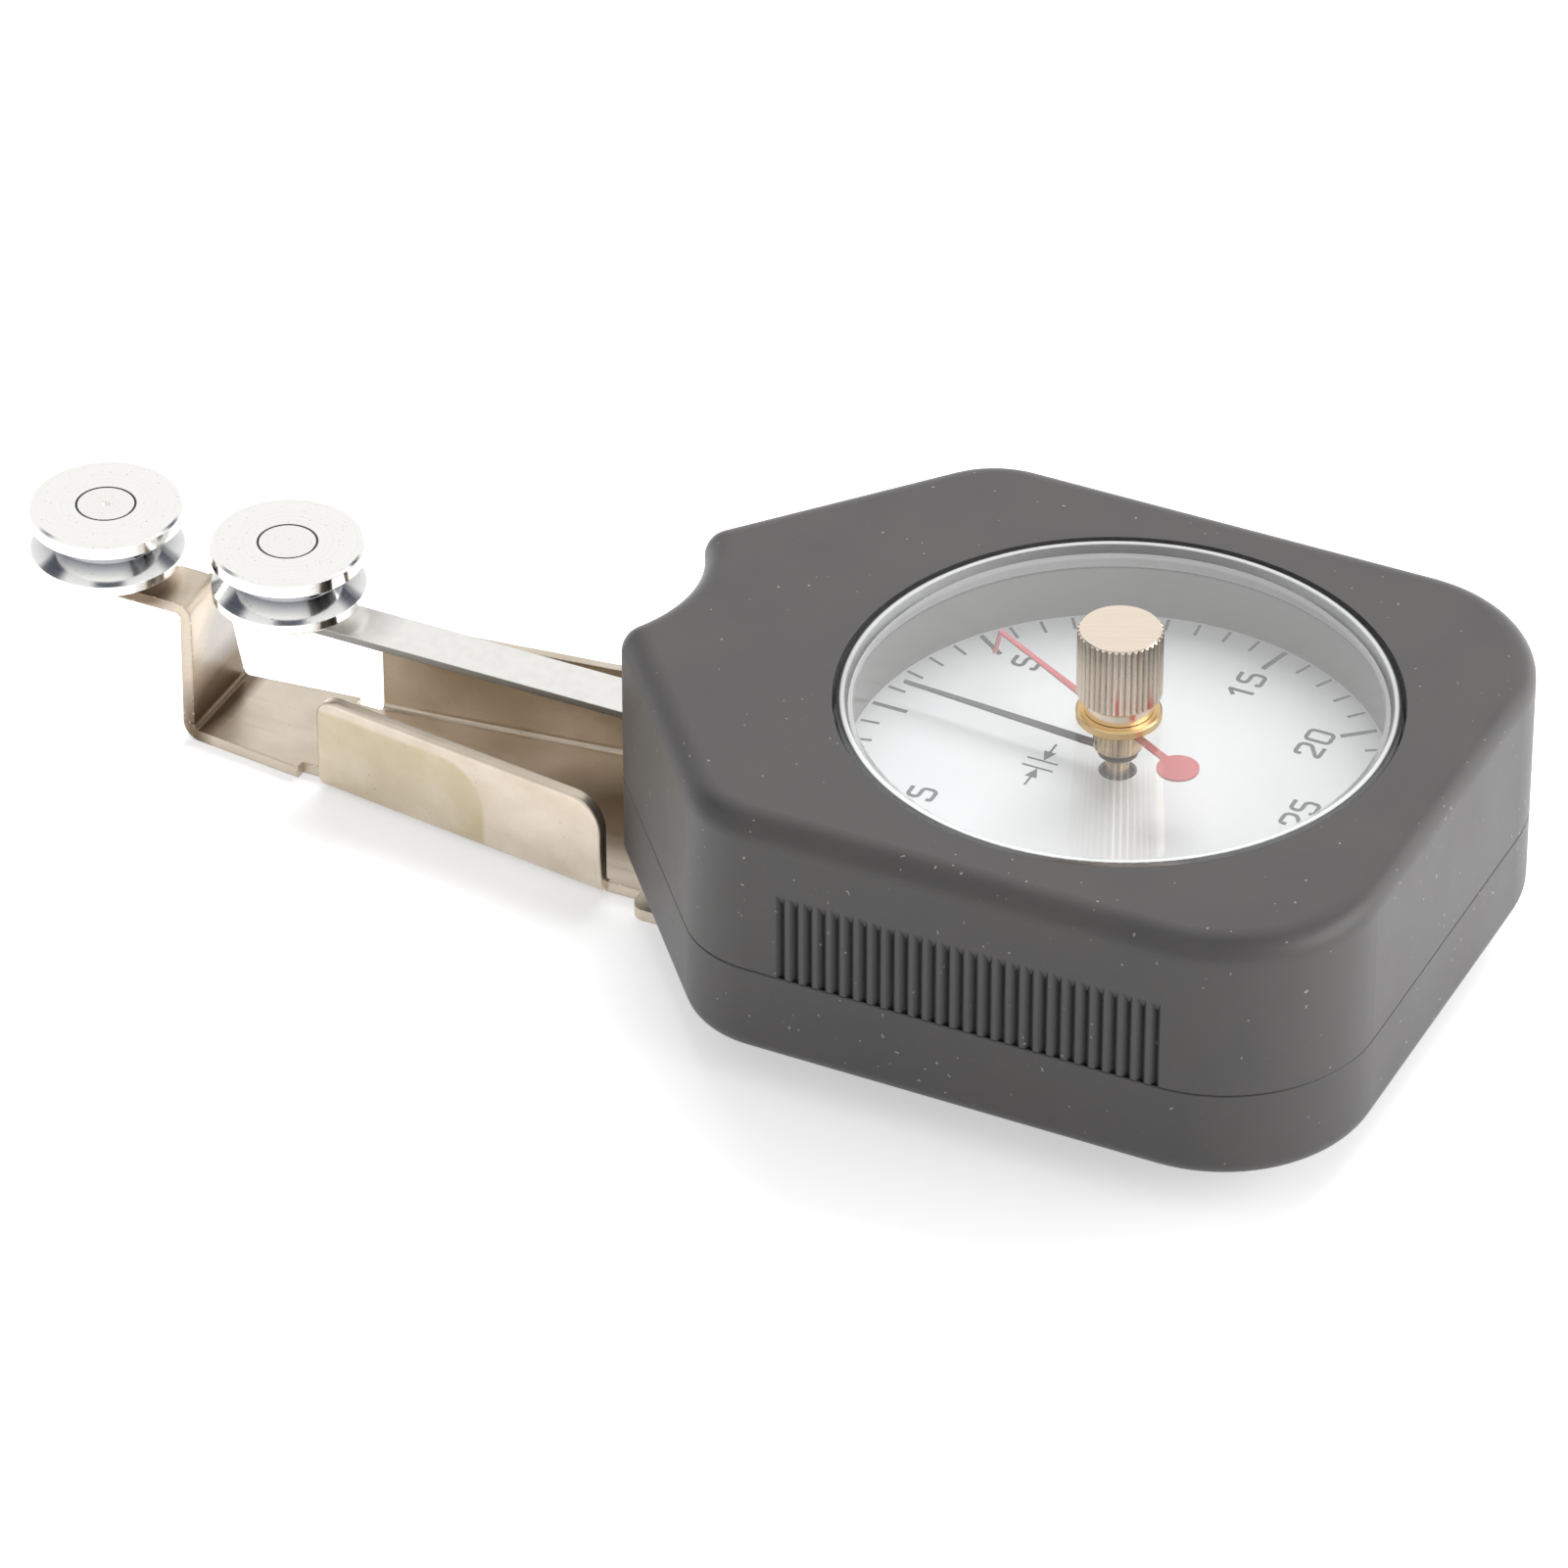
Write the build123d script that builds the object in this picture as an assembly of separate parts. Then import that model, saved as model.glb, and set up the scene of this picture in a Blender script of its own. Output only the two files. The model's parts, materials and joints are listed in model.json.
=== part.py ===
from build123d import *
import os
from math import asin, atan2, cos, degrees, hypot, pi, radians, sin, tan

# Pocket dial tension gauge, in millimetres.
# The origin is on the dial axis at the underside of the bracket plate.
# +X runs from the pulleys to the rear of the case, +Z is up towards the dial.

# Fits and gaps
running_clearance = 0.05
seat_clearance = 0.02
body_gap = 0.3
cut_overrun = 1.0

# Bracket of folded sheet
sheet_thickness = 1.2
bend_inner_radius = 0.6
tab_web_setback = 9.4
strap_length = 13.3
strap_front_half_width = 5.05
strap_rear_half_width = 6.5
notch_length = 2.6
notch_depth = 1.0
flange_length = 32.5
flange_nose_gap = 1.0
flange_front_half_width = 7.4
flange_rear_half_width = 11.5
flange_height = 10.8
flange_front_corner_radius = 2.2
flange_rear_corner_radius = 3.4
flange_edge_radius = 0.4
neck_half_width = 10.25
plate_nose_setback = 2.8
plate_rear_margin = 8.0
plate_side_margin = 5.5
plate_front_corner_radius = 1.5
plate_rear_corner_radius = 3.0
tab_half_width = 2.9
tab_side_gap = 0.3

# Case shells
standoff_height = 2.9
dial_side_gap = 2.6
dial_rear_gap = 3.6
shoulder_reach = 27.5
nose_front_gap = 8.2
nose_side_inset = 4.0
nose_scallop_depth = 2.9
rear_corner_radius = 15.0
shoulder_radius = 10.0
nose_tip_radius = 2.4
top_edge_radius = 2.5
bottom_edge_radius = 2.0
side_wall = 2.2
top_wall = 2.4
floor_wall = 2.2
lip_height = 1.2
lip_thickness = 0.9
seam_chamfer = 0.12

# Ribbed grips on the long sides
grip_front_x = -19.1
grip_rear_x = 18.2
grip_height = 9.4
grip_groove_count = 28
grip_groove_depth = 0.5
grip_groove_width = 0.95
grip_runout = 1.2

# Dial well, crystal and gasket
dial_opening_radius = 26.5
crystal_gap = 0.35
crystal_rim_width = 0.8
crystal_edge_radius = 0.4
rim_bevel_width = 0.75
rim_bevel_drop = 0.5
dish_flat_margin = 1.0
window_recess = 1.96
window_thickness = 0.94
gasket_thickness = 0.3
gasket_width = 0.7
well_step = 1.05
well_wall = 0.8
dial_depth = 8.6
dial_thickness = 0.5
dial_margin = 1.0
dial_hole_gap = 0.7
dial_print_thickness = 0.03

# Scale on the dial
scale_zero_angle = 180.0
scale_division_angle = 7.0
scale_divisions = 25
scale_major_step = 5
minor_tick_length = 1.85
major_tick_length = 3.55
minor_tick_width = 0.3
major_tick_width = 0.5

# Hands
main_hand_clearance = 2.1
hand_thickness = 0.25
main_hand_angle = 176.0
main_hand_tip_gap = 2.75
main_hand_root_width = 1.05
main_hand_tip_width = 0.35
main_hand_boss_radius = 1.9
hand_bush_radius = 1.1
peak_hand_angle = 151.3
peak_hand_reach = 18.4
peak_hand_root_width = 0.75
peak_hand_tip_width = 0.4
peak_hand_ring_radius = 2.2
peak_finger_run = 0.9
peak_finger_gap = 0.15
peak_tail_reach = 9.0
peak_tail_disc_radius = 2.0
peak_hub_radius = 2.35
peak_hub_chamfer = 0.3
peak_hub_nib_wall = 0.4
peak_hub_nib_height = 0.3
peak_hub_top_gap = 0.15
hand_stack_gap = 0.35

# Reset knob and its collar
collar_radius = 4.0
collar_thickness = 0.84
collar_chamfer = 0.15
collar_sleeve_wall = 0.8
knob_radius = 4.0
knob_knurl_height = 7.0
knob_knurl_count = 40
knob_knurl_depth = 0.2
knob_top_chamfer = 0.24
knob_neck_radius = 3.2
knob_neck_height = 1.1
knob_flare_height = 0.75
knob_stem_radius = 1.0
knob_stem_engagement = 4.5
knob_stem_end_gap = 0.2

# Lever, gear train and its plates
lever_thickness = 0.8
lever_half_width = 2.5
lever_slot_gap = 0.8
lever_boss_radius = 4.5
lever_hub_height = 1.8
gear_module = 0.25
pinion_teeth = 14
sector_full_teeth = 226
sector_cut_teeth = 19
sector_thickness = 1.0
sector_rim_width = 2.0
sector_spoke_width = 1.6
pinion_thickness = 1.8
tooth_addendum_share = 0.8
tooth_dedendum_share = 1.25
tooth_root_width_share = 0.64
tooth_pitch_width_share = 0.42
tooth_tip_width_share = 0.22
lever_limit_forward = 10.6
lever_limit_backward = 11.05
lever_rivet_radius = 0.6
lever_rivet_spacing = 6.0
movement_floor_gap = 0.4
movement_plate_thickness = 1.5
movement_front_margin = 9.0
movement_rear_x = 12.0
movement_half_width = 13.0
movement_corner_radius = 3.0
sector_plate_gap = 1.2
pillar_radius = 2.0
pillar_spigot_radius = 1.2
pillar_inset = 3.0
pillar_tap_spare = 0.4
bush_radius = 2.2
staff_radius = 1.5
staff_pivot_radius = 1.0
arbor_radius = 0.8
arbor_pivot_radius = 0.5
arbor_collar_radius = 1.3
arbor_collar_height = 0.4
end_shake = 0.1
stop_pin_radius = 1.0
stop_pin_reach = 20.0

# Measuring spring on the lever staff, hairspring on the pointer arbor
spring_collet_radius = 3.0
spring_thickness = 0.4
spring_width = 2.0
spring_pitch = 1.15
spring_turns = 4
spring_rise = 0.8
spring_hub_gap = 0.4
spring_post_radius = 0.8
hair_collet_radius = 1.5
hair_thickness = 0.12
hair_width = 0.5
hair_pitch = 0.6
hair_turns = 7
hair_rise = 1.5
hair_stud_radius = 0.5
spring_running_gap = 0.1

# Dial feet and fasteners
dial_foot_height = 2.4
dial_foot_radius = 1.2
dial_foot_spigot_radius = 0.6
dial_foot_spigot_length = 1.2
dial_foot_circle_radius = 9.0
dial_foot_count = 3
plate_screw_radius = 0.75
plate_screw_head_radius = 1.6
plate_screw_head_height = 0.9
plate_screw_length = 4.6
mount_screw_radius = 0.9
mount_screw_head_radius = 1.8
mount_screw_head_height = 1.1
mount_screw_length = 3.4
mount_post_radius = 2.6
mount_front_reach = 21.0
mount_rear_reach = 2.0
case_screw_radius = 1.25
case_screw_head_radius = 2.4
case_screw_head_height = 1.8
case_screw_recess = 2.4
case_screw_bite = 6.0
case_post_radius = 3.6
case_boss_radius = 3.2
case_boss_tip_gap = 1.0
rear_post_gap = 0.32
rear_post_angle = 45.0
front_post_gap = 2.21
front_post_angle = 144.66
standoff_radius = 2.75
standoff_spigot_radius = 2.0
bracket_screw_radius = 1.25
bracket_screw_head_radius = 2.3
bracket_screw_head_height = 1.3
bracket_screw_end_gap = 0.4
bracket_post_setback = 11.2
bracket_post_rear_x = 10.0
bracket_post_y = 7.5
screw_slot_width = 0.5
screw_slot_depth_share = 0.45

# Pulleys and their axles
pulley_radius = 7.5
pulley_top_rim = 1.5
pulley_bottom_rim = 1.2
groove_opening = 3.2
groove_depth = 2.1
groove_root_width = 0.5
pulley_edge_chamfer = 0.25
pulley_washer_thickness = 1.2
pulley_washer_radius = 3.0
pulley_bush_wall = 0.8
pulley_gap = 3.85
axle_head_cover = 0.55
axle_head_height = 1.2
axle_head_dimple_radius = 0.4
axle_head_dimple_depth = 0.25
axle_head_gap = 0.08
axle_radius = 1.4
axle_rivet_lip = 0.7
axle_rivet_height = 0.7

# Levels, each from the one that carries it
case_bottom_z = sheet_thickness + standoff_height
floor_top_z = case_bottom_z + floor_wall
base_plate_z = floor_top_z + bracket_screw_head_height + movement_floor_gap
base_plate_top_z = base_plate_z + movement_plate_thickness
spring_z = base_plate_top_z + spring_rise
hair_z = base_plate_top_z + hair_rise
lever_hub_bottom_z = spring_z + spring_width + spring_hub_gap
lever_bottom_z = lever_hub_bottom_z + lever_hub_height
lever_top_z = lever_bottom_z + lever_thickness
parting_z = lever_bottom_z - lever_slot_gap
sector_top_z = lever_top_z + sector_thickness
top_plate_z = sector_top_z + sector_plate_gap
top_plate_top_z = top_plate_z + movement_plate_thickness
dial_bottom_z = top_plate_top_z + dial_foot_height
dial_top_z = dial_bottom_z + dial_thickness
case_top_z = dial_top_z + dial_depth
window_top_z = case_top_z - window_recess
window_bottom_z = window_top_z - window_thickness
well_ledge_z = window_bottom_z - gasket_thickness
main_hand_z = dial_top_z + main_hand_clearance
main_hand_top_z = main_hand_z + hand_thickness
peak_hub_top_z = window_bottom_z - peak_hub_top_gap
peak_hand_z = peak_hub_top_z - peak_hub_nib_height
peak_hub_bottom_z = main_hand_top_z + hand_stack_gap
collar_top_z = window_top_z + collar_thickness
knob_bottom_z = collar_top_z + running_clearance
knob_flare_z = knob_bottom_z + knob_neck_height
knob_knurl_z = knob_flare_z + knob_flare_height
knob_top_z = knob_knurl_z + knob_knurl_height
pulley_thickness = pulley_top_rim + groove_opening + pulley_bottom_rim
washer_top_z = lever_top_z + pulley_washer_thickness
pulley_bottom_z = washer_top_z + running_clearance
pulley_top_z = pulley_bottom_z + pulley_thickness

# Radii, each from the one that it fits
bend_outer_radius = sheet_thickness + bend_inner_radius
crystal_radius = dial_opening_radius - crystal_gap
dish_flat_radius = collar_radius + dish_flat_margin
well_radius = dial_opening_radius - well_step
dial_radius = dial_opening_radius + dial_margin
well_outer_radius = dial_radius + well_wall
main_hand_reach = well_radius - main_hand_tip_gap
dial_hole_radius = hand_bush_radius + dial_hole_gap
peak_hub_nib_radius = knob_stem_radius + peak_hub_nib_wall
collar_sleeve_radius = knob_stem_radius + running_clearance + collar_sleeve_wall
pulley_bush_radius = axle_radius + pulley_bush_wall
axle_head_radius = pulley_bush_radius + axle_head_cover
axle_rivet_radius = axle_radius + axle_rivet_lip
pinion_pitch_radius = gear_module * pinion_teeth / 2
sector_pitch_radius = gear_module * sector_full_teeth / 2

# Places in plan. A reach is a distance in front of the dial axis.
pivot_x = -(pinion_pitch_radius + sector_pitch_radius)
movement_front_reach = movement_front_margin - pivot_x
nose_tip_reach = movement_front_reach + nose_front_gap
nose_tip_half_width = movement_half_width - nose_side_inset
case_half_width = dial_radius + dial_side_gap + side_wall
case_rear_x = dial_radius + dial_rear_gap + side_wall
bracket_post_front_reach = nose_tip_reach - bracket_post_setback
plate_front_reach = nose_tip_reach - plate_nose_setback
plate_rear_x = bracket_post_rear_x + plate_rear_margin
plate_half_width = bracket_post_y + plate_side_margin
flange_rear_reach = nose_tip_reach + flange_nose_gap
flange_front_reach = flange_rear_reach + flange_length
notch_front_reach = flange_front_reach + notch_length
web_outer_reach = notch_front_reach + strap_length
fixed_pulley_reach = web_outer_reach + tab_web_setback
lever_reach = fixed_pulley_reach - 2 * pulley_radius - pulley_gap
tab_near_y = tab_side_gap - strap_front_half_width
fixed_pulley_y = tab_near_y + tab_half_width
rear_post_radius = well_outer_radius + rear_post_gap + case_boss_radius
front_post_radius = well_outer_radius + front_post_gap + case_boss_radius
pillar_places = [
    (x, side * (movement_half_width - pillar_inset))
    for x in (pillar_inset - movement_front_reach, movement_rear_x - pillar_inset)
    for side in (-1, 1)
]
mount_places = [
    (x, side * (movement_half_width - pillar_inset))
    for x in (-mount_front_reach, -mount_rear_reach)
    for side in (-1, 1)
]
case_post_places = [
    (radius * cos(radians(angle)), side * radius * sin(radians(angle)))
    for radius, angle in ((rear_post_radius, rear_post_angle), (front_post_radius, front_post_angle))
    for side in (-1, 1)
]
bracket_post_places = [
    (x, side * bracket_post_y)
    for x in (-bracket_post_front_reach, bracket_post_rear_x)
    for side in (-1, 1)
]
sector_tooth_angle = 360 / sector_full_teeth
half_sector_angle = sector_cut_teeth * sector_tooth_angle / 2
dial_foot_angles = [scale_zero_angle + index * 360 / dial_foot_count for index in range(dial_foot_count)]
dial_foot_places = [
    (dial_foot_circle_radius * cos(radians(angle)), dial_foot_circle_radius * sin(radians(angle)))
    for angle in dial_foot_angles
]


def disc(radius, low, high, x=0, y=0):
    """Upright cylinder between two levels."""
    return Pos(x, y, (low + high) / 2) * Cylinder(radius, high - low)


def tube(outer, inner, low, high, x=0, y=0):
    """Upright tube between two levels."""
    bore = disc(inner, low - cut_overrun, high + cut_overrun, x, y)
    return disc(outer, low, high, x, y) - bore


def block(x_low, x_high, y_low, y_high, z_low, z_high):
    """Box between two corners."""
    middle = Pos((x_low + x_high) / 2, (y_low + y_high) / 2, (z_low + z_high) / 2)
    return middle * Box(x_high - x_low, y_high - y_low, z_high - z_low)


def prism(outline, low, high):
    """Upright prism of a plan outline between two levels."""
    return extrude(Pos(0, 0, low) * outline, amount=high - low)


def polygon(points):
    """Flat face inside a closed run of straight lines."""
    return make_face(Polyline(*points, close=True))


def rounded(face, corners):
    """Face with the corners at the given places rounded, each to its own radius."""
    for x, y, radius in corners:
        corner = face.vertices().sort_by_distance((x, y, 0))[0]
        face = fillet(corner, radius)
    return face


def turned(points, x=0, y=0):
    """Solid of revolution about an upright axis, from its half section."""
    return Pos(x, y) * revolve(Plane.XZ * polygon(points), Axis.Z)


def screw(place, seat, radius, length, head_radius, head_height, up=1):
    """Slotted pan head screw. Its head rests on the seat and stands up (1) or down (-1)."""
    x, y = place
    head = sorted((seat, seat + up * head_height))
    shank = sorted((seat, seat - up * length))
    slot_depth = head_height * screw_slot_depth_share
    slot = sorted((seat + up * (head_height - slot_depth), seat + up * (head_height + cut_overrun)))
    half_length = head_radius + cut_overrun
    half_width = screw_slot_width / 2
    body = disc(head_radius, *head, x, y) + disc(radius, *shank, x, y)
    return body - block(x - half_length, x + half_length, y - half_width, y + half_width, *slot)


# Case shells
def case_outline():
    """Plan of the case: rounded rear, chamfered front and a scalloped nose."""
    tip = (-nose_tip_reach, nose_tip_half_width)
    near_tip = (-nose_tip_reach, -nose_tip_half_width)
    sides = Polyline(
        near_tip,
        (-shoulder_reach, -case_half_width),
        (case_rear_x, -case_half_width),
        (case_rear_x, case_half_width),
        (-shoulder_reach, case_half_width),
        tip,
    )
    scallop = ThreePointArc(tip, (nose_scallop_depth - nose_tip_reach, 0), near_tip)
    corners = []
    for side in (-1, 1):
        corners.append((case_rear_x, side * case_half_width, rear_corner_radius))
        corners.append((-shoulder_reach, side * case_half_width, shoulder_radius))
        corners.append((-nose_tip_reach, side * nose_tip_half_width, nose_tip_radius))
    return rounded(make_face([*sides.edges(), scallop]), corners)


def lever_slot():
    """Opening in the nose that the lever swings through."""
    limit = radians(max(lever_limit_forward, lever_limit_backward))
    swing = (nose_tip_reach + pivot_x) * tan(limit) + lever_half_width / cos(limit)
    half = swing + body_gap
    rear = pivot_x - lever_boss_radius
    top = lever_top_z + lever_slot_gap
    return block(-nose_tip_reach - cut_overrun, rear, -half, half, parting_z, top)


def grip_grooves():
    """Upright V grooves in both long sides, each running out to a point at its top."""
    pitch = (grip_rear_x - grip_front_x) / (grip_groove_count - 1)
    surface = case_half_width
    root = surface - grip_groove_depth
    low = parting_z - cut_overrun
    high = parting_z + grip_height
    half = grip_groove_width / 2
    runout = polygon([(surface, low), (root, low), (root, high - grip_runout), (surface, high)])
    slices = Plane.YZ.offset(grip_front_x - grip_groove_width) * runout
    wedge = extrude(slices, amount=grip_rear_x - grip_front_x + 2 * grip_groove_width)
    grooves = []
    for index in range(grip_groove_count):
        x = grip_front_x + index * pitch
        groove = polygon([(x - half, surface), (x, root), (x + half, surface)])
        grooves.append(prism(groove, low, high) & wedge)
    return [*grooves, *(mirror(groove, about=Plane.XZ) for groove in grooves)]


def make_top_case():
    """Upper shell with the dial well, the screw bosses and the lever slot."""
    outline = case_outline()
    shell = prism(outline, parting_z, case_top_z)
    shell = fillet(shell.faces().sort_by(Axis.Z)[-1].edges(), top_edge_radius)
    shell = chamfer(shell.faces().sort_by(Axis.Z)[0].edges(), seam_chamfer)
    inside = offset(outline, amount=-side_wall)
    shell -= prism(inside, parting_z - cut_overrun, case_top_z - top_wall)
    rebate = offset(outline, amount=lip_thickness - side_wall + running_clearance)
    shell -= prism(rebate, parting_z - cut_overrun, parting_z + lip_height + running_clearance)
    shell += tube(well_outer_radius, well_radius, dial_top_z, case_top_z - top_wall)
    bore_top = parting_z + case_screw_bite + case_boss_tip_gap
    for x, y in case_post_places:
        shell += disc(case_boss_radius, parting_z, case_top_z - top_wall, x, y)
        shell -= disc(case_screw_radius + seat_clearance, parting_z - cut_overrun, bore_top, x, y)
    shell -= disc(dial_opening_radius, well_ledge_z, case_top_z + cut_overrun)
    shell -= disc(well_radius, dial_top_z - cut_overrun, case_top_z + cut_overrun)
    shell -= lever_slot()
    return shell - grip_grooves()


def make_bottom_case():
    """Lower shell with its locating lip and the posts for the screws and the movement."""
    outline = case_outline()
    shell = prism(outline, case_bottom_z, parting_z)
    shell = fillet(shell.faces().sort_by(Axis.Z)[0].edges(), bottom_edge_radius)
    shell = chamfer(shell.faces().sort_by(Axis.Z)[-1].edges(), seam_chamfer)
    lip_plan = offset(outline, amount=lip_thickness - side_wall)
    shell += prism(lip_plan, parting_z - lip_height, parting_z + lip_height)
    inside = offset(outline, amount=-side_wall)
    shell -= prism(inside, floor_top_z, parting_z + lip_height + cut_overrun)
    recess_top = case_bottom_z + case_screw_recess
    recess_radius = case_screw_head_radius + body_gap
    for x, y in case_post_places:
        shell += disc(case_post_radius, floor_top_z - floor_wall / 2, parting_z, x, y)
        shell -= disc(case_screw_radius + running_clearance, recess_top, parting_z + cut_overrun, x, y)
        shell -= disc(recess_radius, case_bottom_z - cut_overrun, recess_top, x, y)
    tap_bottom = base_plate_top_z - mount_screw_length - end_shake
    for x, y in mount_places:
        shell += disc(mount_post_radius, floor_top_z - floor_wall / 2, base_plate_z, x, y)
        shell -= disc(mount_screw_radius + seat_clearance, tap_bottom, base_plate_z + cut_overrun, x, y)
    for x, y in bracket_post_places:
        hole_radius = bracket_screw_radius + running_clearance
        shell -= disc(hole_radius, case_bottom_z - cut_overrun, floor_top_z + cut_overrun, x, y)
    return shell - lever_slot()


def make_case_screws():
    """Four screws from recesses under the lower shell up into the upper shell."""
    seat = case_bottom_z + case_screw_recess
    length = parting_z + case_screw_bite - seat
    sizes = (case_screw_radius, length, case_screw_head_radius, case_screw_head_height)
    return [screw(place, seat, *sizes, up=-1) for place in case_post_places]


# Bracket
def strap_profile():
    """Side profile of the strap: plate, upright web and the tab that turns forward on top."""
    outer_x = -web_outer_reach
    inner_x = outer_x + sheet_thickness
    tab_end = -(fixed_pulley_reach + tab_half_width)
    tab_bottom = lever_top_z - sheet_thickness
    band = polygon(
        [
            (-notch_front_reach, 0),
            (outer_x, 0),
            (outer_x, tab_bottom),
            (tab_end, tab_bottom),
            (tab_end, lever_top_z),
            (inner_x, lever_top_z),
            (inner_x, sheet_thickness),
            (-notch_front_reach, sheet_thickness),
        ]
    )
    bends = [
        (outer_x, 0, bend_outer_radius),
        (outer_x, tab_bottom, bend_inner_radius),
        (inner_x, lever_top_z, bend_outer_radius),
        (inner_x, sheet_thickness, bend_inner_radius),
    ]
    return rounded(band, bends)


def flange_line_half_width(reach):
    """Half width to the flanges' outer faces at a distance in front of the dial axis."""
    run = flange_front_reach - flange_rear_reach
    slope = (flange_rear_half_width - flange_front_half_width) / run
    return flange_front_half_width + slope * (flange_front_reach - reach)


def plate_plan():
    """Plan of the flat plate behind the web, up to the inner side of the flange bends."""
    neck = [
        (-web_outer_reach, strap_front_half_width),
        (-notch_front_reach, strap_rear_half_width),
        (-notch_front_reach, strap_rear_half_width - notch_depth),
        (-flange_front_reach, strap_rear_half_width - notch_depth),
        (-flange_front_reach, flange_line_half_width(flange_front_reach) - bend_outer_radius),
        (-flange_rear_reach, flange_line_half_width(flange_rear_reach) - bend_outer_radius),
        (-flange_rear_reach, neck_half_width),
        (-plate_front_reach, neck_half_width),
        (-plate_front_reach, plate_half_width),
        (plate_rear_x, plate_half_width),
    ]
    other_side = [(x, -y) for x, y in reversed(neck)]
    corners = []
    for side in (-1, 1):
        corners.append((-plate_front_reach, side * plate_half_width, plate_front_corner_radius))
        corners.append((plate_rear_x, side * plate_half_width, plate_rear_corner_radius))
    return rounded(polygon(neck + other_side), corners)


def make_flange():
    """Upright flange on the far side, with its bend into the plate."""
    run = flange_front_reach - flange_rear_reach
    spread = flange_rear_half_width - flange_front_half_width
    length = hypot(run, spread)
    slant = degrees(atan2(spread, run))
    inner_reach = bend_outer_radius + sheet_thickness
    section = polygon(
        [
            (0, 0),
            (inner_reach, 0),
            (inner_reach, sheet_thickness),
            (sheet_thickness, sheet_thickness),
            (sheet_thickness, flange_height),
            (0, flange_height),
        ]
    )
    bends = [(0, 0, bend_outer_radius), (sheet_thickness, sheet_thickness, bend_inner_radius)]
    angle = extrude(Plane.YZ * rounded(section, bends), amount=length)
    side_view = polygon([(0, 0), (length, 0), (length, flange_height), (0, flange_height)])
    corners = [
        (length, flange_height, flange_rear_corner_radius),
        (0, flange_height, flange_front_corner_radius),
    ]
    silhouette = extrude(Plane.XZ * rounded(side_view, corners), amount=-inner_reach)
    flange = angle & silhouette
    top_edge = flange.edges().group_by(Axis.Y)[0].sort_by(Axis.Z)[-1]
    flange = fillet(top_edge, flange_edge_radius)
    start = Pos(-flange_front_reach, -flange_front_half_width, 0)
    return mirror(start * Rot(0, 0, -slant) * flange, about=Plane.XZ)


def make_bracket():
    """Folded sheet bracket: plate, two flanges, web and the tab for the fixed pulley."""
    plan = plate_plan()
    web_foot = sheet_thickness + bend_inner_radius
    tab_far_y = tab_near_y + 2 * tab_half_width
    web_view = polygon(
        [
            (-plate_half_width, -cut_overrun),
            (-plate_half_width, web_foot),
            (-strap_front_half_width, web_foot),
            (tab_near_y, lever_top_z + cut_overrun),
            (tab_far_y, lever_top_z + cut_overrun),
            (strap_front_half_width, web_foot),
            (plate_half_width, web_foot),
            (plate_half_width, -cut_overrun),
        ]
    )
    tab_plan = Pos(-fixed_pulley_reach, fixed_pulley_y) * Circle(tab_half_width)
    tab_run = fixed_pulley_reach - web_outer_reach + sheet_thickness
    tab_middle = -fixed_pulley_reach + tab_run / 2
    tab_plan += Pos(tab_middle, fixed_pulley_y) * Rectangle(tab_run, 2 * tab_half_width)
    strap = extrude(Plane.XZ * strap_profile(), amount=plate_half_width, both=True)
    strap &= prism(plan + tab_plan, -cut_overrun, lever_top_z + cut_overrun)
    strap &= extrude(Plane.YZ * web_view, amount=-(fixed_pulley_reach + tab_half_width + cut_overrun))
    bend_end_x = bend_outer_radius - web_outer_reach
    half = plate_half_width
    behind_bend = block(bend_end_x, plate_rear_x, -half, half, 0, sheet_thickness)
    flange = make_flange()
    bracket = strap + (prism(plan, 0, sheet_thickness) & behind_bend)
    bracket += [flange, mirror(flange, about=Plane.XZ)]
    axle_hole = axle_radius + seat_clearance
    hole_top = lever_top_z + cut_overrun
    bracket -= disc(axle_hole, parting_z, hole_top, -fixed_pulley_reach, fixed_pulley_y)
    standoff_hole = standoff_spigot_radius + seat_clearance
    for x, y in bracket_post_places:
        bracket -= disc(standoff_hole, -cut_overrun, sheet_thickness + cut_overrun, x, y)
    return bracket


def make_bracket_standoffs():
    """Four threaded standoffs clinched flush into the plate."""
    bore = bracket_screw_radius + seat_clearance
    standoffs = []
    for x, y in bracket_post_places:
        spigot = tube(standoff_spigot_radius, bore, 0, sheet_thickness, x, y)
        standoffs.append(spigot + tube(standoff_radius, bore, sheet_thickness, case_bottom_z, x, y))
    return standoffs


def make_bracket_screws():
    """Four screws inside the case that hold it down on the standoffs."""
    length = floor_top_z - bracket_screw_end_gap
    sizes = (bracket_screw_radius, length, bracket_screw_head_radius, bracket_screw_head_height)
    return [screw(place, floor_top_z, *sizes) for place in bracket_post_places]


# Crystal, gasket and collar
def make_crystal():
    """Clear moulded crystal: a flush rim, bevelled inside, round a window dished down to the collar."""
    hole_radius = collar_sleeve_radius + running_clearance
    rim_radius = crystal_radius - crystal_rim_width
    dish_edge = (rim_radius - rim_bevel_width, case_top_z - rim_bevel_drop)
    upper = TangentArc((dish_flat_radius, window_top_z), dish_edge, tangent=(1, 0))
    lower = Pos(0, -window_thickness) * upper
    outside = Polyline(
        upper @ 1,
        (rim_radius, case_top_z),
        (crystal_radius, case_top_z),
        (crystal_radius, window_bottom_z),
        (rim_radius, window_bottom_z),
        (rim_radius, (lower @ 1).Y),
        lower @ 1,
    )
    inside = Polyline(
        lower @ 0, (hole_radius, window_bottom_z), (hole_radius, window_top_z), upper @ 0
    )
    section = make_face([outside, lower, inside, upper])
    crystal = revolve(Plane.XZ * section, Axis.Z)
    return fillet(crystal.edges().group_by(Axis.Z)[-1], crystal_edge_radius)


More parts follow.
